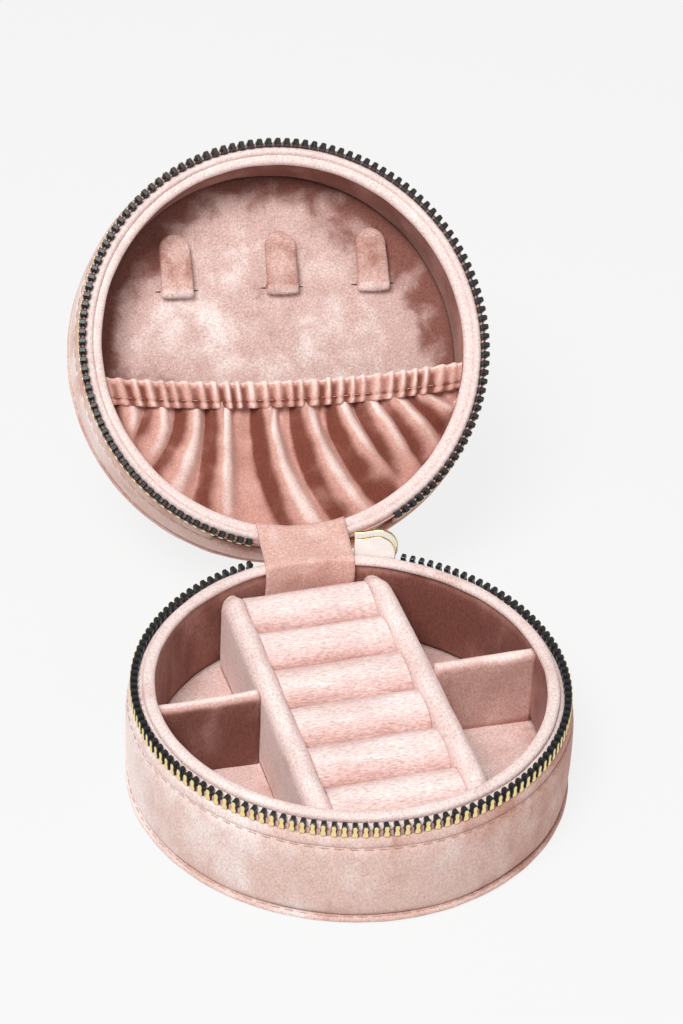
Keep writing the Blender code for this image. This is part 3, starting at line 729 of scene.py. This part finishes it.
welt_inner, welt_outer, welt_low, welt_high = ring_of("lid_welt", SHUT)
bm = turned(roll_profile(welt_inner, welt_outer, welt_low, welt_high), steps=260)
rumple(bm, 0.12 * MM, 5 * MM, 33)
sewn("lid_welt_velvet", bm, COVER_VELVET, "lid", ["lid_welt"], OPEN)
seam = round_seam(cover_radius - 0.15 * MM, welt_low - 0.15 * MM)
stitches(2 * pi * cover_radius, seam, "lid_seam_stitches", THREAD, "lid", OPEN)

inner, outer, low, high = ring_of("lid_top_panel", SHUT)
bm = turned(cushion_disc(outer, low, high, PANEL_EASE, 0.5 * MM, rings=40), closed=False)
rumple(bm, 0.2 * MM, 18 * MM, 34)
sewn("lid_top_velvet", bm, COVER_VELVET, "lid", ["lid_top_panel"], OPEN)

inner, outer, low, high = ring_of("lid_lining", SHUT)
bm = turned(padded_band(inner, outer, low, high, 0.15 * MM, side=-1), steps=180)
rumple(bm, 0.2 * MM, 11 * MM, 35)


def lid_lining_painted_shade(place, normal):
    """Painted shade: dark at the lid's front, which is uppermost and in shade when it is open, and paler down
    both sides.
    """
    return -0.35 + 0.5 * cos(radians(rim_angle(place)))


lining = sewn(
    "lid_lining_velvet", bm, SHADED_LINING_VELVET, "lid", ["lid_lining"], OPEN, lid_lining_painted_shade,
)

inner, outer, low, high = ring_of("lid_lip_piping", SHUT)
roll = roll_profile(inner - LIP_SWELL, outer + LIP_SWELL, low, high + 0.3 * MM, square=LIP_SQUARE)
bm = turned(roll, steps=260)
rumple(bm, 0.14 * MM, 6 * MM, 36)
sewn("lid_lip_velvet", bm, LIP_VELVET, "lid", ["lid_lip_piping"], OPEN)


# Lid panel: the velvet that lines the top, brushed by fingers, so its pile lies both ways in patches. Towards
# its edge it is painted darker, as shade under the lip.
PANEL_PALE_RADIUS = 28 * MM
PANEL_FADE = 17 * MM
LID_PANEL_VELVET = velvet(
    "lid_panel_velvet", dye(140, 92, 82), dye(209, 176, 168), dye(236, 217, 211),
    crush=0.7, grain=0.5, sheen=0.3,
)


def panel_painted_shade(place, normal):
    """Painted shade: pale in the middle and darker towards the edge, as shade under the lip, most of all at
    the lid's front.
    """
    radius = hypot(place.x, place.y)
    edge = max(0.0, radius - PANEL_PALE_RADIUS) / PANEL_FADE
    front = 0.5 - 0.5 * place.y / max(radius, MM)
    return 0.3 * (1 - min(1.0, edge)) - 1.35 * edge ** 1.6 * (0.35 + 0.65 * front)


inner, outer, low, high = ring_of("lid_lining_panel", SHUT)
panel_face = low
bm = turned(cushion_disc(outer, -high, -low - 0.1 * MM, 0.4 * MM, 0.1 * MM, rings=50), closed=False)
bmesh.ops.scale(bm, vec=(1, 1, -1), verts=bm.verts)
face_outwards(bm)
rumple(bm, 0.25 * MM, 12 * MM, 37)
panel = sewn(
    "lid_panel_velvet", bm, LID_PANEL_VELVET, "lid", ["lid_lining_panel"], OPEN, panel_painted_shade,
)


# Zip facings: a narrow velvet strip between each lip and the teeth. It hides the tape's inner side and the
# edge of the board; on the base it starts just past the slider.
FACING_RISE = 1.6 * MM
slider_end = rim_span("slider_body")[1]
for half, turn, rise in (("base", None, 1), ("lid", SHUT, -1)):
    lip_outer = ring_of(f"{half}_lip_piping", turn)[1]
    teeth_inner, _, low, high = ring_of(f"{half}_zip_teeth", turn)
    foot = low if rise > 0 else high
    start = slider_end + 1.0 if half == "base" else 0.0
    profile = [
        (lip_outer - 0.6 * MM, foot - 2.0 * MM * rise), (teeth_inner + 0.3 * MM, foot - 2.0 * MM * rise),
        (teeth_inner + 0.4 * MM, foot + 0.3 * MM * rise), (teeth_inner + 0.1 * MM, foot + 0.9 * MM * rise),
        (teeth_inner - 0.3 * MM, foot + FACING_RISE * rise), (lip_outer, foot + FACING_RISE * rise * 1.1),
        (lip_outer - 0.6 * MM, foot + 0.9 * MM * rise),
    ]
    bm = turned(profile, start, 360.0, 240)
    rumple(bm, 0.1 * MM, 5 * MM, 38)
    facing = sewn(f"{half}_zip_facing", bm, LIP_VELVET, half, [], OPEN if turn else None)


# Zip tapes: woven tape that carries the teeth. Its edge shows between them, and the
# rest of it is hidden under the hems.
TAPE_WEAVE = spun_thread("zip_tape_weave", dye(214, 166, 155))
TAPE_SHOWING = 1.3 * MM
for half, turn in (("base", None), ("lid", SHUT)):
    node = f"{half}_zip_tape"
    inner, outer, low, high = ring_of(node, turn)
    first, last = rim_span(node, turn)
    if half == "base":
        high += TAPE_SHOWING
    else:
        low -= TAPE_SHOWING
    bm = turned([(inner, low), (outer, low), (outer, high), (inner, high)], first, last)
    tape = sewn(f"{half}_tape_cloth", bm, TAPE_WEAVE, half, [node], OPEN if turn else None)
    around = radians(last - first) * outer


# Zip teeth: moulded black teeth clamped on the tape's edge, each with a gold face on
# its outer side. The open lid's row splays outwards a little.
TOOTH_PITCH = 360 / 138
TOOTH_BODY = [
    (0.64, 0.0), (0.73, 0.5), (0.68, 1.05), (0.52, 1.5),
    (0.52, 1.8), (0.62, 2.25), (0.60, 2.75), (0.40, 3.08),
]
TOOTH_FACE = [
    (0.52, 0.02), (0.63, 0.45), (0.60, 0.95), (0.42, 1.4),
    (0.41, 1.7), (0.50, 2.1), (0.49, 2.6), (0.30, 2.9),
]
LID_TOOTH_WIDTH = 1.12
LID_SPLAY = radians(6)


def mirrored_outline(half):
    """A closed outline from its right half, in millimetres."""
    points = half + [(-x, z) for x, z in reversed(half)]
    return [(x * MM, z * MM) for x, z in points]


def cut_plate(bm, outline, start, stop, soft, segments, number=0):
    """Adds a plate of an (x, z) outline, from Y start to stop, with softened edges."""
    face = bm.faces.new([bm.verts.new((x, start, z)) for x, z in outline])
    face.material_index = number
    pushed = bmesh.ops.extrude_face_region(bm, geom=[face])["geom"]
    moved = [item for item in pushed if isinstance(item, bmesh.types.BMVert)]
    bmesh.ops.translate(bm, verts=moved, vec=(0, stop - start, 0))
    ends = [item for item in pushed if isinstance(item, bmesh.types.BMFace)] + [face]
    rims = list({edge for end in ends for edge in end.edges})
    bmesh.ops.bevel(
        bm, geom=rims, offset=soft, segments=segments, profile=0.5, affect="EDGES", material=-1,
    )


def upright_tooth():
    """One tooth at the origin: across X, outwards Y, foot to head along Z."""
    bm = bmesh.new()
    cut_plate(bm, mirrored_outline(TOOTH_BODY), -0.92 * MM, 0.72 * MM, 0.13 * MM, 1)
    cut_plate(bm, mirrored_outline(TOOTH_FACE), 0.70 * MM, 0.90 * MM, 0.07 * MM, 1, number=1)
    face_outwards(bm)
    mesh = bpy.data.meshes.new("tooth")
    bm.to_mesh(mesh)
    bm.free()
    return mesh


def polished(name, colour, roughness, metal, wear=0.15):
    """Plated metal or moulded plastic, a little dulled in patches by handling."""
    made, nodes, links, shader = blank_material(name)
    shader.inputs["Metallic"].default_value = metal
    rub = nodes.new("ShaderNodeTexNoise")
    rub.inputs["Scale"].default_value = 400
    rub.inputs["Detail"].default_value = 4
    links.new(nodes.new("ShaderNodeTexCoord").outputs["Object"], rub.inputs["Vector"])
    spread = nodes.new("ShaderNodeMapRange")
    spread.inputs["To Min"].default_value = roughness
    spread.inputs["To Max"].default_value = roughness + wear
    links.new(rub.outputs["Fac"], spread.inputs["Value"])
    links.new(spread.outputs["Result"], shader.inputs["Roughness"])
    two_tone(nodes, links, shader, rub, colour, 0.82)
    return made


BLACK_RESIN = polished("black_resin", dye(34, 36, 38), 0.28, 0.0)
GOLD_FACE = polished("gold_face", dye(255, 232, 168), 0.38, 0.85)
tooth = upright_tooth()
for half, turn in (("base", None), ("lid", SHUT)):
    node = f"{half}_zip_teeth"
    inner, outer, low, high = ring_of(node, turn)
    first, last = rim_span(node, turn)
    count = round((last - first) / TOOTH_PITCH)
    rise = 1 if half == "base" else -1
    foot = low if half == "base" else high
    row = bmesh.new()
    for i in range(count):
        angle = radians(first + TOOTH_PITCH * (i + 0.25))
        outward = Vector((sin(angle), cos(angle), 0))
        around = Vector((cos(angle), -sin(angle), 0)) * rise
        stand = Matrix((around, outward, Vector((0, 0, rise)))).transposed().to_4x4()
        if half == "lid":
            stand = stand @ Matrix.Rotation(-LID_SPLAY, 4, "X") @ Matrix.Diagonal((LID_TOOTH_WIDTH, 1, 1, 1))
        place = Matrix.Translation(outward * (inner + outer) / 2 + Vector((0, 0, foot)))
        start = len(row.verts)
        row.from_mesh(tooth)
        row.verts.ensure_lookup_table()
        bmesh.ops.transform(row, matrix=place @ stand, verts=row.verts[start:])
    finish = [BLACK_RESIN, GOLD_FACE]
    made = sewn(f"{half}_teeth", row, finish, half, [node], OPEN if turn else None)
    made.data.set_sharp_from_angle(angle=radians(40))
    dress(f"{half}_zip_stop", GOLD_FACE)


# Slider: a gold-plated die-cast body with a shield-shaped plate on each side of the
# teeth, its bail, and the hanging puller.
GOLD = polished("pale_gold_plate", dye(250, 214, 132), 0.18, 1.0, wear=0.08)
# Painted reflection: the flat faces of the slider's plates are coloured near white, standing in for the glare
# of the key light off the gold.
PLATE_PAINTED_GLARE = polished("plate_painted_glare", dye(255, 254, 250), 0.30, 0.15, wear=0.05)
FLAT_FACE = 0.9
PLATE_EDGE = 0.25 * MM
inner, outer, low, high = ring_of("slider_body")
first, last = rim_span("slider_body")
slider_middle, slider_half = (low + high) / 2, (high - low) / 2
slider_length = radians(last - first) * (inner + outer) / 2


def shield(t):
    """Half height of the slider's plate along its length, from its narrow end to its round end."""
    waist = 0.70 + 0.30 * (3 * (t / 0.62) ** 2 - 2 * (t / 0.62) ** 3) if t < 0.62 else 1.0
    rounding = sqrt(max(0.0, 1 - max(0.0, (t - 0.60) / 0.415) ** 2))
    return slider_half * waist * rounding


def shield_plate(start, stop):
    """A plate between two radii, cut to the shield and bent round the rim."""
    bm = bmesh.new()
    outline = [(i / 28, shield(i / 28)) for i in range(29)]
    outline += [(t, -h) for t, h in reversed(outline) if h > 0.01 * MM]
    flat = [(t * slider_length, slider_middle + h) for t, h in outline]
    cut_plate(bm, flat, start, stop, PLATE_EDGE, 3)
    for vert in bm.verts:
        angle = radians(first) + vert.co.x / slider_length * radians(last - first)
        vert.co = Vector((vert.co.y * sin(angle), vert.co.y * cos(angle), vert.co.z))
    return bm


def join(bm, other):
    """Adds another bmesh to this one."""
    part = bpy.data.meshes.new("part")
    other.to_mesh(part)
    other.free()
    bm.from_mesh(part)


body = shield_plate(inner, inner + 0.7 * MM)
join(body, shield_plate(outer - 0.9 * MM, outer))
wedge_low = ring_of("base_zip_teeth")[3] + 0.2 * MM
wedge = turned(
    [(inner + 0.3 * MM, wedge_low), (outer - 0.4 * MM, wedge_low),
     (outer - 0.4 * MM, wedge_low + 1.2 * MM), (inner + 0.3 * MM, wedge_low + 1.2 * MM)],
    last - 2.6, last - 0.4, 8,
)
join(body, wedge)
face_outwards(body)
# Faces lying flat on the plates take the painted reflection.
for face in body.faces:
    middle = face.calc_center_median()
    face.material_index = int(abs(face.normal.dot(Vector((middle.x, middle.y, 0)).normalized())) > FLAT_FACE)
slider = sewn("slider_gold", body, [GOLD, PLATE_PAINTED_GLARE], "slider", ["slider_body"])
slider.data.set_sharp_from_angle(angle=radians(50))
dress("slider_bail", GOLD)
dress("puller", GOLD)


# Hinge strap: a doubled velvet strap from inside the base, over both lips, to inside the lid. It stops the
# lid when it pulls tight; it is shaped as it lies with the lid open.
STRAP_TAIL_RADIUS = 45.3 * MM
STRAP_LIP_RADIUS = 46.1 * MM
STRAP_LIFT = 0.5 * MM
STRAP_THICKNESS = 0.7 * MM


def smooth_path(points, steps):
    """Points along a smooth curve through a few given ones."""
    line = []
    ends = [points[0]] + list(points) + [points[-1]]
    for a, b, c, d in zip(ends, ends[1:], ends[2:], ends[3:]):
        for i in range(steps):
            t = i / steps
            line.append(0.5 * (
                2 * b + (c - a) * t + (2 * a - 5 * b + 4 * c - d) * t * t + (3 * b - a - 3 * c + d) * t ** 3
            ))
    return line + [points[-1]]


def cloth(rows, thickness, shading_rows=None):
    """A sheet of cloth through rows of points, given its thickness, and its painted light and shade at each.
    """
    bm = bmesh.new()
    painted_shading = bm.verts.layers.float.new("painted_shading")
    grid = [[bm.verts.new(point) for point in row] for row in rows]
    if shading_rows:
        for made, given in zip(grid, shading_rows):
            for vert, lie in zip(made, given):
                vert[painted_shading] = lie
    for first, second in zip(grid, grid[1:]):
        for i in range(len(first) - 1):
            bm.faces.new((first[i], first[i + 1], second[i + 1], second[i]))
    bmesh.ops.recalc_face_normals(bm, faces=bm.faces)
    bmesh.ops.solidify(bm, geom=bm.faces[:], thickness=thickness)
    face_outwards(bm)
    return bm


def path_length(points):
    """Length of a line of points."""
    return sum((b - a).length for a, b in zip(points, points[1:]))


STRAP_VELVET = velvet(
    "strap_velvet", dye(178, 124, 110), dye(216, 174, 163), dye(238, 210, 202),
    crush=0.6, grain=0.45, sheen=0.3,
)
low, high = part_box("hinge_strap")
strap_left, strap_right, strap_foot = low.x, high.x, low.z
base_top = ring_of("base_lip_piping")[3]
lid_bottom, lid_top = ring_of("lid_lip_piping", SHUT)[2:]
columns = []
for i in range(31):
    x = strap_left + (strap_right - strap_left) * i / 30
    tail = sqrt(STRAP_TAIL_RADIUS ** 2 - x * x)
    crest = sqrt(STRAP_LIP_RADIUS ** 2 - x * x)
    below = [Vector((x, tail, strap_foot)), Vector((x, tail, (strap_foot + base_top) / 2))]
    below += [Vector((x, tail, base_top - 1.2 * MM)), Vector((x, crest, base_top + STRAP_LIFT))]
    beyond = [OPEN @ Vector((x, crest, lid_bottom - STRAP_LIFT))]
    beyond += [OPEN @ Vector((x, tail, lid_bottom + 1.0 * MM)), OPEN @ Vector((x, tail, lid_top))]
    sag = Vector((0, 0, -0.3 * MM))
    span = beyond[0] - below[-1]
    middle = [below[-1] + span * 0.3 + sag, below[-1] + span * 0.7 + sag]
    columns.append(smooth_path(below + middle + beyond, 7))
bm = cloth(columns, STRAP_THICKNESS)
rumple(bm, 0.3 * MM, 5 * MM, 41)
strap = sewn("hinge_strap_velvet", bm, STRAP_VELVET, None, ["hinge_strap"])
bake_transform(strap)


# Hinge panel: the outer cloth hinge behind the strap, glued to both hems. It is shaped bent open with the
# lid, along the line that the lid turns about.
PANEL_CLOTH = 0.45 * MM
low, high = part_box("hinge_panel")
columns = []
hem_low, hem_high = ring_of("base_rim_hem")[2:]
lid_hem_low, lid_hem_high = ring_of("lid_rim_hem", SHUT)[2:]
fold = ring_of("base_rim_hem")[0] + 0.25 * MM
for i in range(21):
    x = low.x + (high.x - low.x) * i / 20
    columns.append(smooth_path([
        Vector((x, fold, hem_low)), Vector((x, fold, hem_high)),
        Vector((x, hinge_line.y - 0.5 * MM, hinge_line.z - 0.4 * MM)),
        Vector((x, hinge_line.y + 0.8 * MM, hinge_line.z + 0.5 * MM)),
        Vector((x, hinge_line.y + 2.0 * MM, hinge_line.z - 0.3 * MM)),
        OPEN @ Vector((x, fold, lid_hem_low)), OPEN @ Vector((x, fold, lid_hem_high)),
    ], 5))
bm = cloth(columns, PANEL_CLOTH)
rumple(bm, 0.12 * MM, 5 * MM, 42)
flap = sewn("hinge_panel_velvet", bm, COVER_VELVET, None, ["hinge_panel"])
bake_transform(flap)


# Necklace hooks: three padded velvet tabs sewn to the lid's panel at the foot. Each
# folds out over its foot and stands up against the panel.
FITTINGS = OPEN @ Matrix.Rotation(radians(1.9), 4, "Z")
HOOK_VELVET = velvet(
    "hook_velvet", dye(168, 118, 105), dye(210, 172, 162), dye(236, 212, 205),
    crush=0.9, grain=0.55, sheen=0.4,
)
# Painted shadow: a dark mottled colour for the lens at each hook's foot.
SLIT_SHADOW = pressed_board("hook_slit_shadow", dye(96, 56, 50), 1.0 * MM)


def hook_painted_light(place, normal):
    """Painted light and shade: a hook has a painted highlight round its fold, at the foot, and painted shade
    up its left edge.
    """
    fold = max(0.0, 1 - (hook_foot - place.y) / (2.6 * MM))
    return 0.9 * min(1.0, fold * 1.6) - 0.35 * max(0.0, -normal.x) - 0.1


for name in ("left", "middle", "right"):
    low, high = box_in(f"hook_{name}", FITTINGS)
    middle, half = (low.x + high.x) / 2, (high.x - low.x) / 2
    foot, tip, face = high.y, low.y, panel_face
    hook_foot = foot
    spine = smooth_path([
        Vector((foot - 2.8 * MM, 0.4 * MM, 0)), Vector((foot - 1.4 * MM, 0.9 * MM, 0)),
        Vector((foot - 0.65 * MM, 1.8 * MM, 0)), Vector((foot - 1.6 * MM, 2.75 * MM, 0)),
        Vector((foot - 4.0 * MM, 2.75 * MM, 0)), Vector((foot - 9.0 * MM, 2.4 * MM, 0)),
        Vector((tip + 0.4 * MM, 1.9 * MM, 0)),
    ], 16)
    total = path_length(spine)
    bm = bmesh.new()
    rings = []
    run = 0.0
    for i, point in enumerate(spine):
        before, after = spine[max(0, i - 1)], spine[min(len(spine) - 1, i + 1)]
        run += (point - spine[i - 1]).length if i else 0.0
        along = (after - before).normalized()
        across = Vector((-along.y, along.x, 0))
        left_over = max(0.0, total - run)
        round_off = sqrt(max(0.0, 1 - max(0.0, 1 - left_over / half) ** 2)) if left_over < half else 1.0
        wide = half * max(0.12, round_off) * (1 - 0.05 * run / total)
        thick = 0.62 * MM * (0.45 + 0.55 * min(1.0, round_off * 1.4))
        ring = []
        for x, d in roll_profile(-1, 1, -1, 1, square=3.0):
            place = point + across * d * thick
            ring.append(bm.verts.new((middle + x * wide, place.x, face - place.y)))
        rings.append(ring)
    skin(bm, rings)
    rumple(bm, 0.2 * MM, 4 * MM, 50 + len(name))
    hook = sewn(
        f"hook_velvet_{name}", bm, HOOK_VELVET, f"hook_{name}", [f"hook_{name}"],
        FITTINGS, hook_painted_light,
    )
    # Painted shadow: a dark flat lens sunk in the panel at each hook's foot, where the tab goes into its
    # slit.
    bm = bmesh.new()
    bmesh.ops.create_icosphere(bm, subdivisions=3, radius=1.0)
    bmesh.ops.scale(bm, vec=(half + 1.6 * MM, 0.32 * MM, 0.25 * MM), verts=bm.verts)
    bmesh.ops.translate(bm, verts=bm.verts, vec=(middle, foot - 2.2 * MM, face + 0.02 * MM))
    sewn(f"hook_slit_shadow_{name}", bm, SLIT_SHADOW, "lid", [], FITTINGS)


# Pocket: a half-round of velvet sewn round the lid's edge, cut wider than the lid and
# gathered on elastic at its top, so it falls in folds that fan out from the hem.
POCKET_COLUMNS = 320
POCKET_ROWS = 46
POCKET_CLOTH = 0.6 * MM
FOLD_HEIGHT = 4.4 * MM
FOLD_FAN = radians(72)
HEM_DROP = 6.7 * MM
pocket_foot = box_in("pocket_panel", FITTINGS)[0].z
hem_low, hem_high = box_in("pocket_elastic_hem", FITTINGS)
rim = lining_radius - 0.4 * MM
MOUTH_SAG = 2.9 * MM
SEAM_SHARE = 0.955


def mouth_line(x):
    """Height of the pocket's mouth across the lid: it sags towards the hinge."""
    return hem_low.y + MOUTH_SAG * (1 - (x / rim) ** 2)


# Where each fold leaves the hem, how far it leans by the rim, and how strong it is
FOLDS = (
    (0.045, 0.015, 0.7), (0.14, -0.02, 0.7), (0.23, -0.026, 0.85), (0.315, 0.02, 1.0), (0.445, 0.09, 1.0),
    (0.555, 0.095, 1.0), (0.65, 0.097, 0.95), (0.735, 0.06, 0.9), (0.805, 0.066, 0.85), (0.88, 0.085, 0.8),
)
FOLD_WIDTH = 0.032


def fold_offsets(u, v):
    """(offset in fold widths, strength) of each fold at u across and v from the hem to the rim."""
    for centre, lean, strength in FOLDS:
        width = FOLD_WIDTH * (0.75 + 0.55 * v)
        yield (u - centre - lean * v ** 1.3) / width, strength * (1 - 0.45 * v ** 3)


def fold_height(u, v):
    """How far the gathered cloth stands up, from 0 in a valley to 1 on the tallest fold."""
    height = 0.0
    for off, strength in fold_offsets(u, v):
        flank = off / (1.2 if off < 0 else 0.95)
        height = max(height, strength * exp(-abs(flank) ** 2.3))
    ruffle = 0.5 + 0.5 * sin(2 * pi * (u * 30 + 0.35 * sin(u * 41)))
    gather = exp(-v * 7.5)
    return height * (1 - 0.45 * gather) + 0.30 * ruffle * gather


def fold_painted_light(u, v):
    """Painted shade and highlight: a fold's left flank is painted dark as shade and its right shoulder pale
    as a highlight, with flats half way.
    """
    lie = -0.05
    for off, strength in fold_offsets(u, v):
        lie -= 1.65 * strength * exp(-((off + 1.15) / 0.55) ** 2)
        lie += 1.00 * strength * exp(-((off - 0.35) / 0.38) ** 2)
        lie -= 0.35 * strength * exp(-((off + 0.45) / 0.4) ** 2)
    return max(-1.0, min(1.0, lie))


rows, shading_rows = [], []
for i in range(POCKET_COLUMNS + 1):
    u = i / POCKET_COLUMNS
    seam_x = (2 * u - 1) * rim * SEAM_SHARE
    seam = Vector((seam_x, mouth_line(seam_x) + HEM_DROP - 1.6 * MM, 0))
    fan = (2 * u - 1) * FOLD_FAN
    edge = Vector((rim * sin(fan), rim * cos(fan), 0))
    row = []
    for j in range(POCKET_ROWS + 1):
        v = j / POCKET_ROWS
        place = seam.lerp(edge, v)
        place.x += 1.5 * MM * sin(pi * v) * sin(u * 9)
        belly = 1.0 * MM * sin(pi * min(1.0, v * 1.1)) ** 2
        place.z = pocket_foot + FOLD_HEIGHT + 0.6 * MM - belly - FOLD_HEIGHT * fold_height(u, v)
        row.append(place)
    rows.append(row)
    shading_rows.append([fold_painted_light(u, j / POCKET_ROWS) for j in range(POCKET_ROWS + 1)])
bm = cloth(rows, POCKET_CLOTH, shading_rows)
rumple(bm, 0.2 * MM, 4.5 * MM, 61)
POCKET_VELVET = velvet(
    "pocket_velvet", dye(122, 68, 55), dye(206, 156, 143), dye(246, 220, 212),
    crush=0.35, grain=0.35, sheen=0.45,
)
pocket = sewn("pocket_velvet_panel", bm, POCKET_VELVET, "lid", ["pocket_panel"], FITTINGS)


# Pocket hem: the folded top of the pocket with elastic inside, ruffled finely, with
# a row of stitching below the elastic.
RUFFLES = 28
RUFFLE_DEPTH = 0.85 * MM
HEM_COLUMNS = 372
bm = bmesh.new()
painted_shading = bm.verts.layers.float.new("painted_shading")
rings = []
hem_half = HEM_DROP / 2
hem_middle = (hem_low.z + hem_high.z) / 2 + 0.1 * MM
section = roll_profile(-1, 1, -1, 1, points=28, square=2.6)
for i in range(HEM_COLUMNS + 1):
    u = i / HEM_COLUMNS
    wave = sin(2 * pi * (u * RUFFLES + 0.10 * sin(u * 37) + 0.06 * sin(u * 71)))
    wave = copysign(abs(wave) ** 0.7, wave)
    slot_wave = (0.8 + 0.2 * sin(u * 23)) * min(1.0, 0.25 + 9 * min(u, 1 - u))
    ring = []
    for across, thick in section:
        offset = across * (hem_half + 0.12 * MM * wave)
        y_guess = mouth_line((2 * u - 1) * rim) + hem_half + offset
        x = (2 * u - 1) * sqrt(rim ** 2 - y_guess ** 2)
        y = mouth_line(x) + hem_half + offset
        pinch = 1 - 0.45 * exp(-((across - 0.45) / 0.16) ** 2)
        z = hem_middle + thick * 1.0 * MM * pinch - RUFFLE_DEPTH * wave * slot_wave * pinch
        vert = bm.verts.new((x, y, z))
        # Painted light and shade: a painted highlight along the hem's top edge, painted shade in each
        # ruffle's valley and along the seam line, paler on each ruffle's crest.
        top_edge = exp(-((across + 1) / 0.32) ** 2)
        seam_line = exp(-((across - 0.5) / 0.13) ** 2)
        vert[painted_shading] = (1 - top_edge) * (0.8 * wave * slot_wave - 0.25 - 0.6 * seam_line) + 0.8 * top_edge
        ring.append(vert)
    rings.append(ring)
skin(bm, rings)
rumple(bm, 0.12 * MM, 3 * MM, 62)
hem = sewn("pocket_hem_velvet", bm, POCKET_VELVET, "lid", ["pocket_elastic_hem"], FITTINGS)


def on_seam(x):
    """The place of the pocket's stitching, x across the lid."""
    return Vector((x, mouth_line(x) + hem_half * 1.45, hem_middle - 0.85 * MM))


def hem_seam(distance):
    """Place and direction of the pocket's stitching, from left to right."""
    x = -rim * 0.95 + distance
    step = 0.5 * MM
    return on_seam(x), (on_seam(x + step) - on_seam(x - step)).normalized()


stitches(rim * 1.9, hem_seam, "pocket_hem_stitches", THREAD, "lid", FITTINGS, length=1.9 * MM)
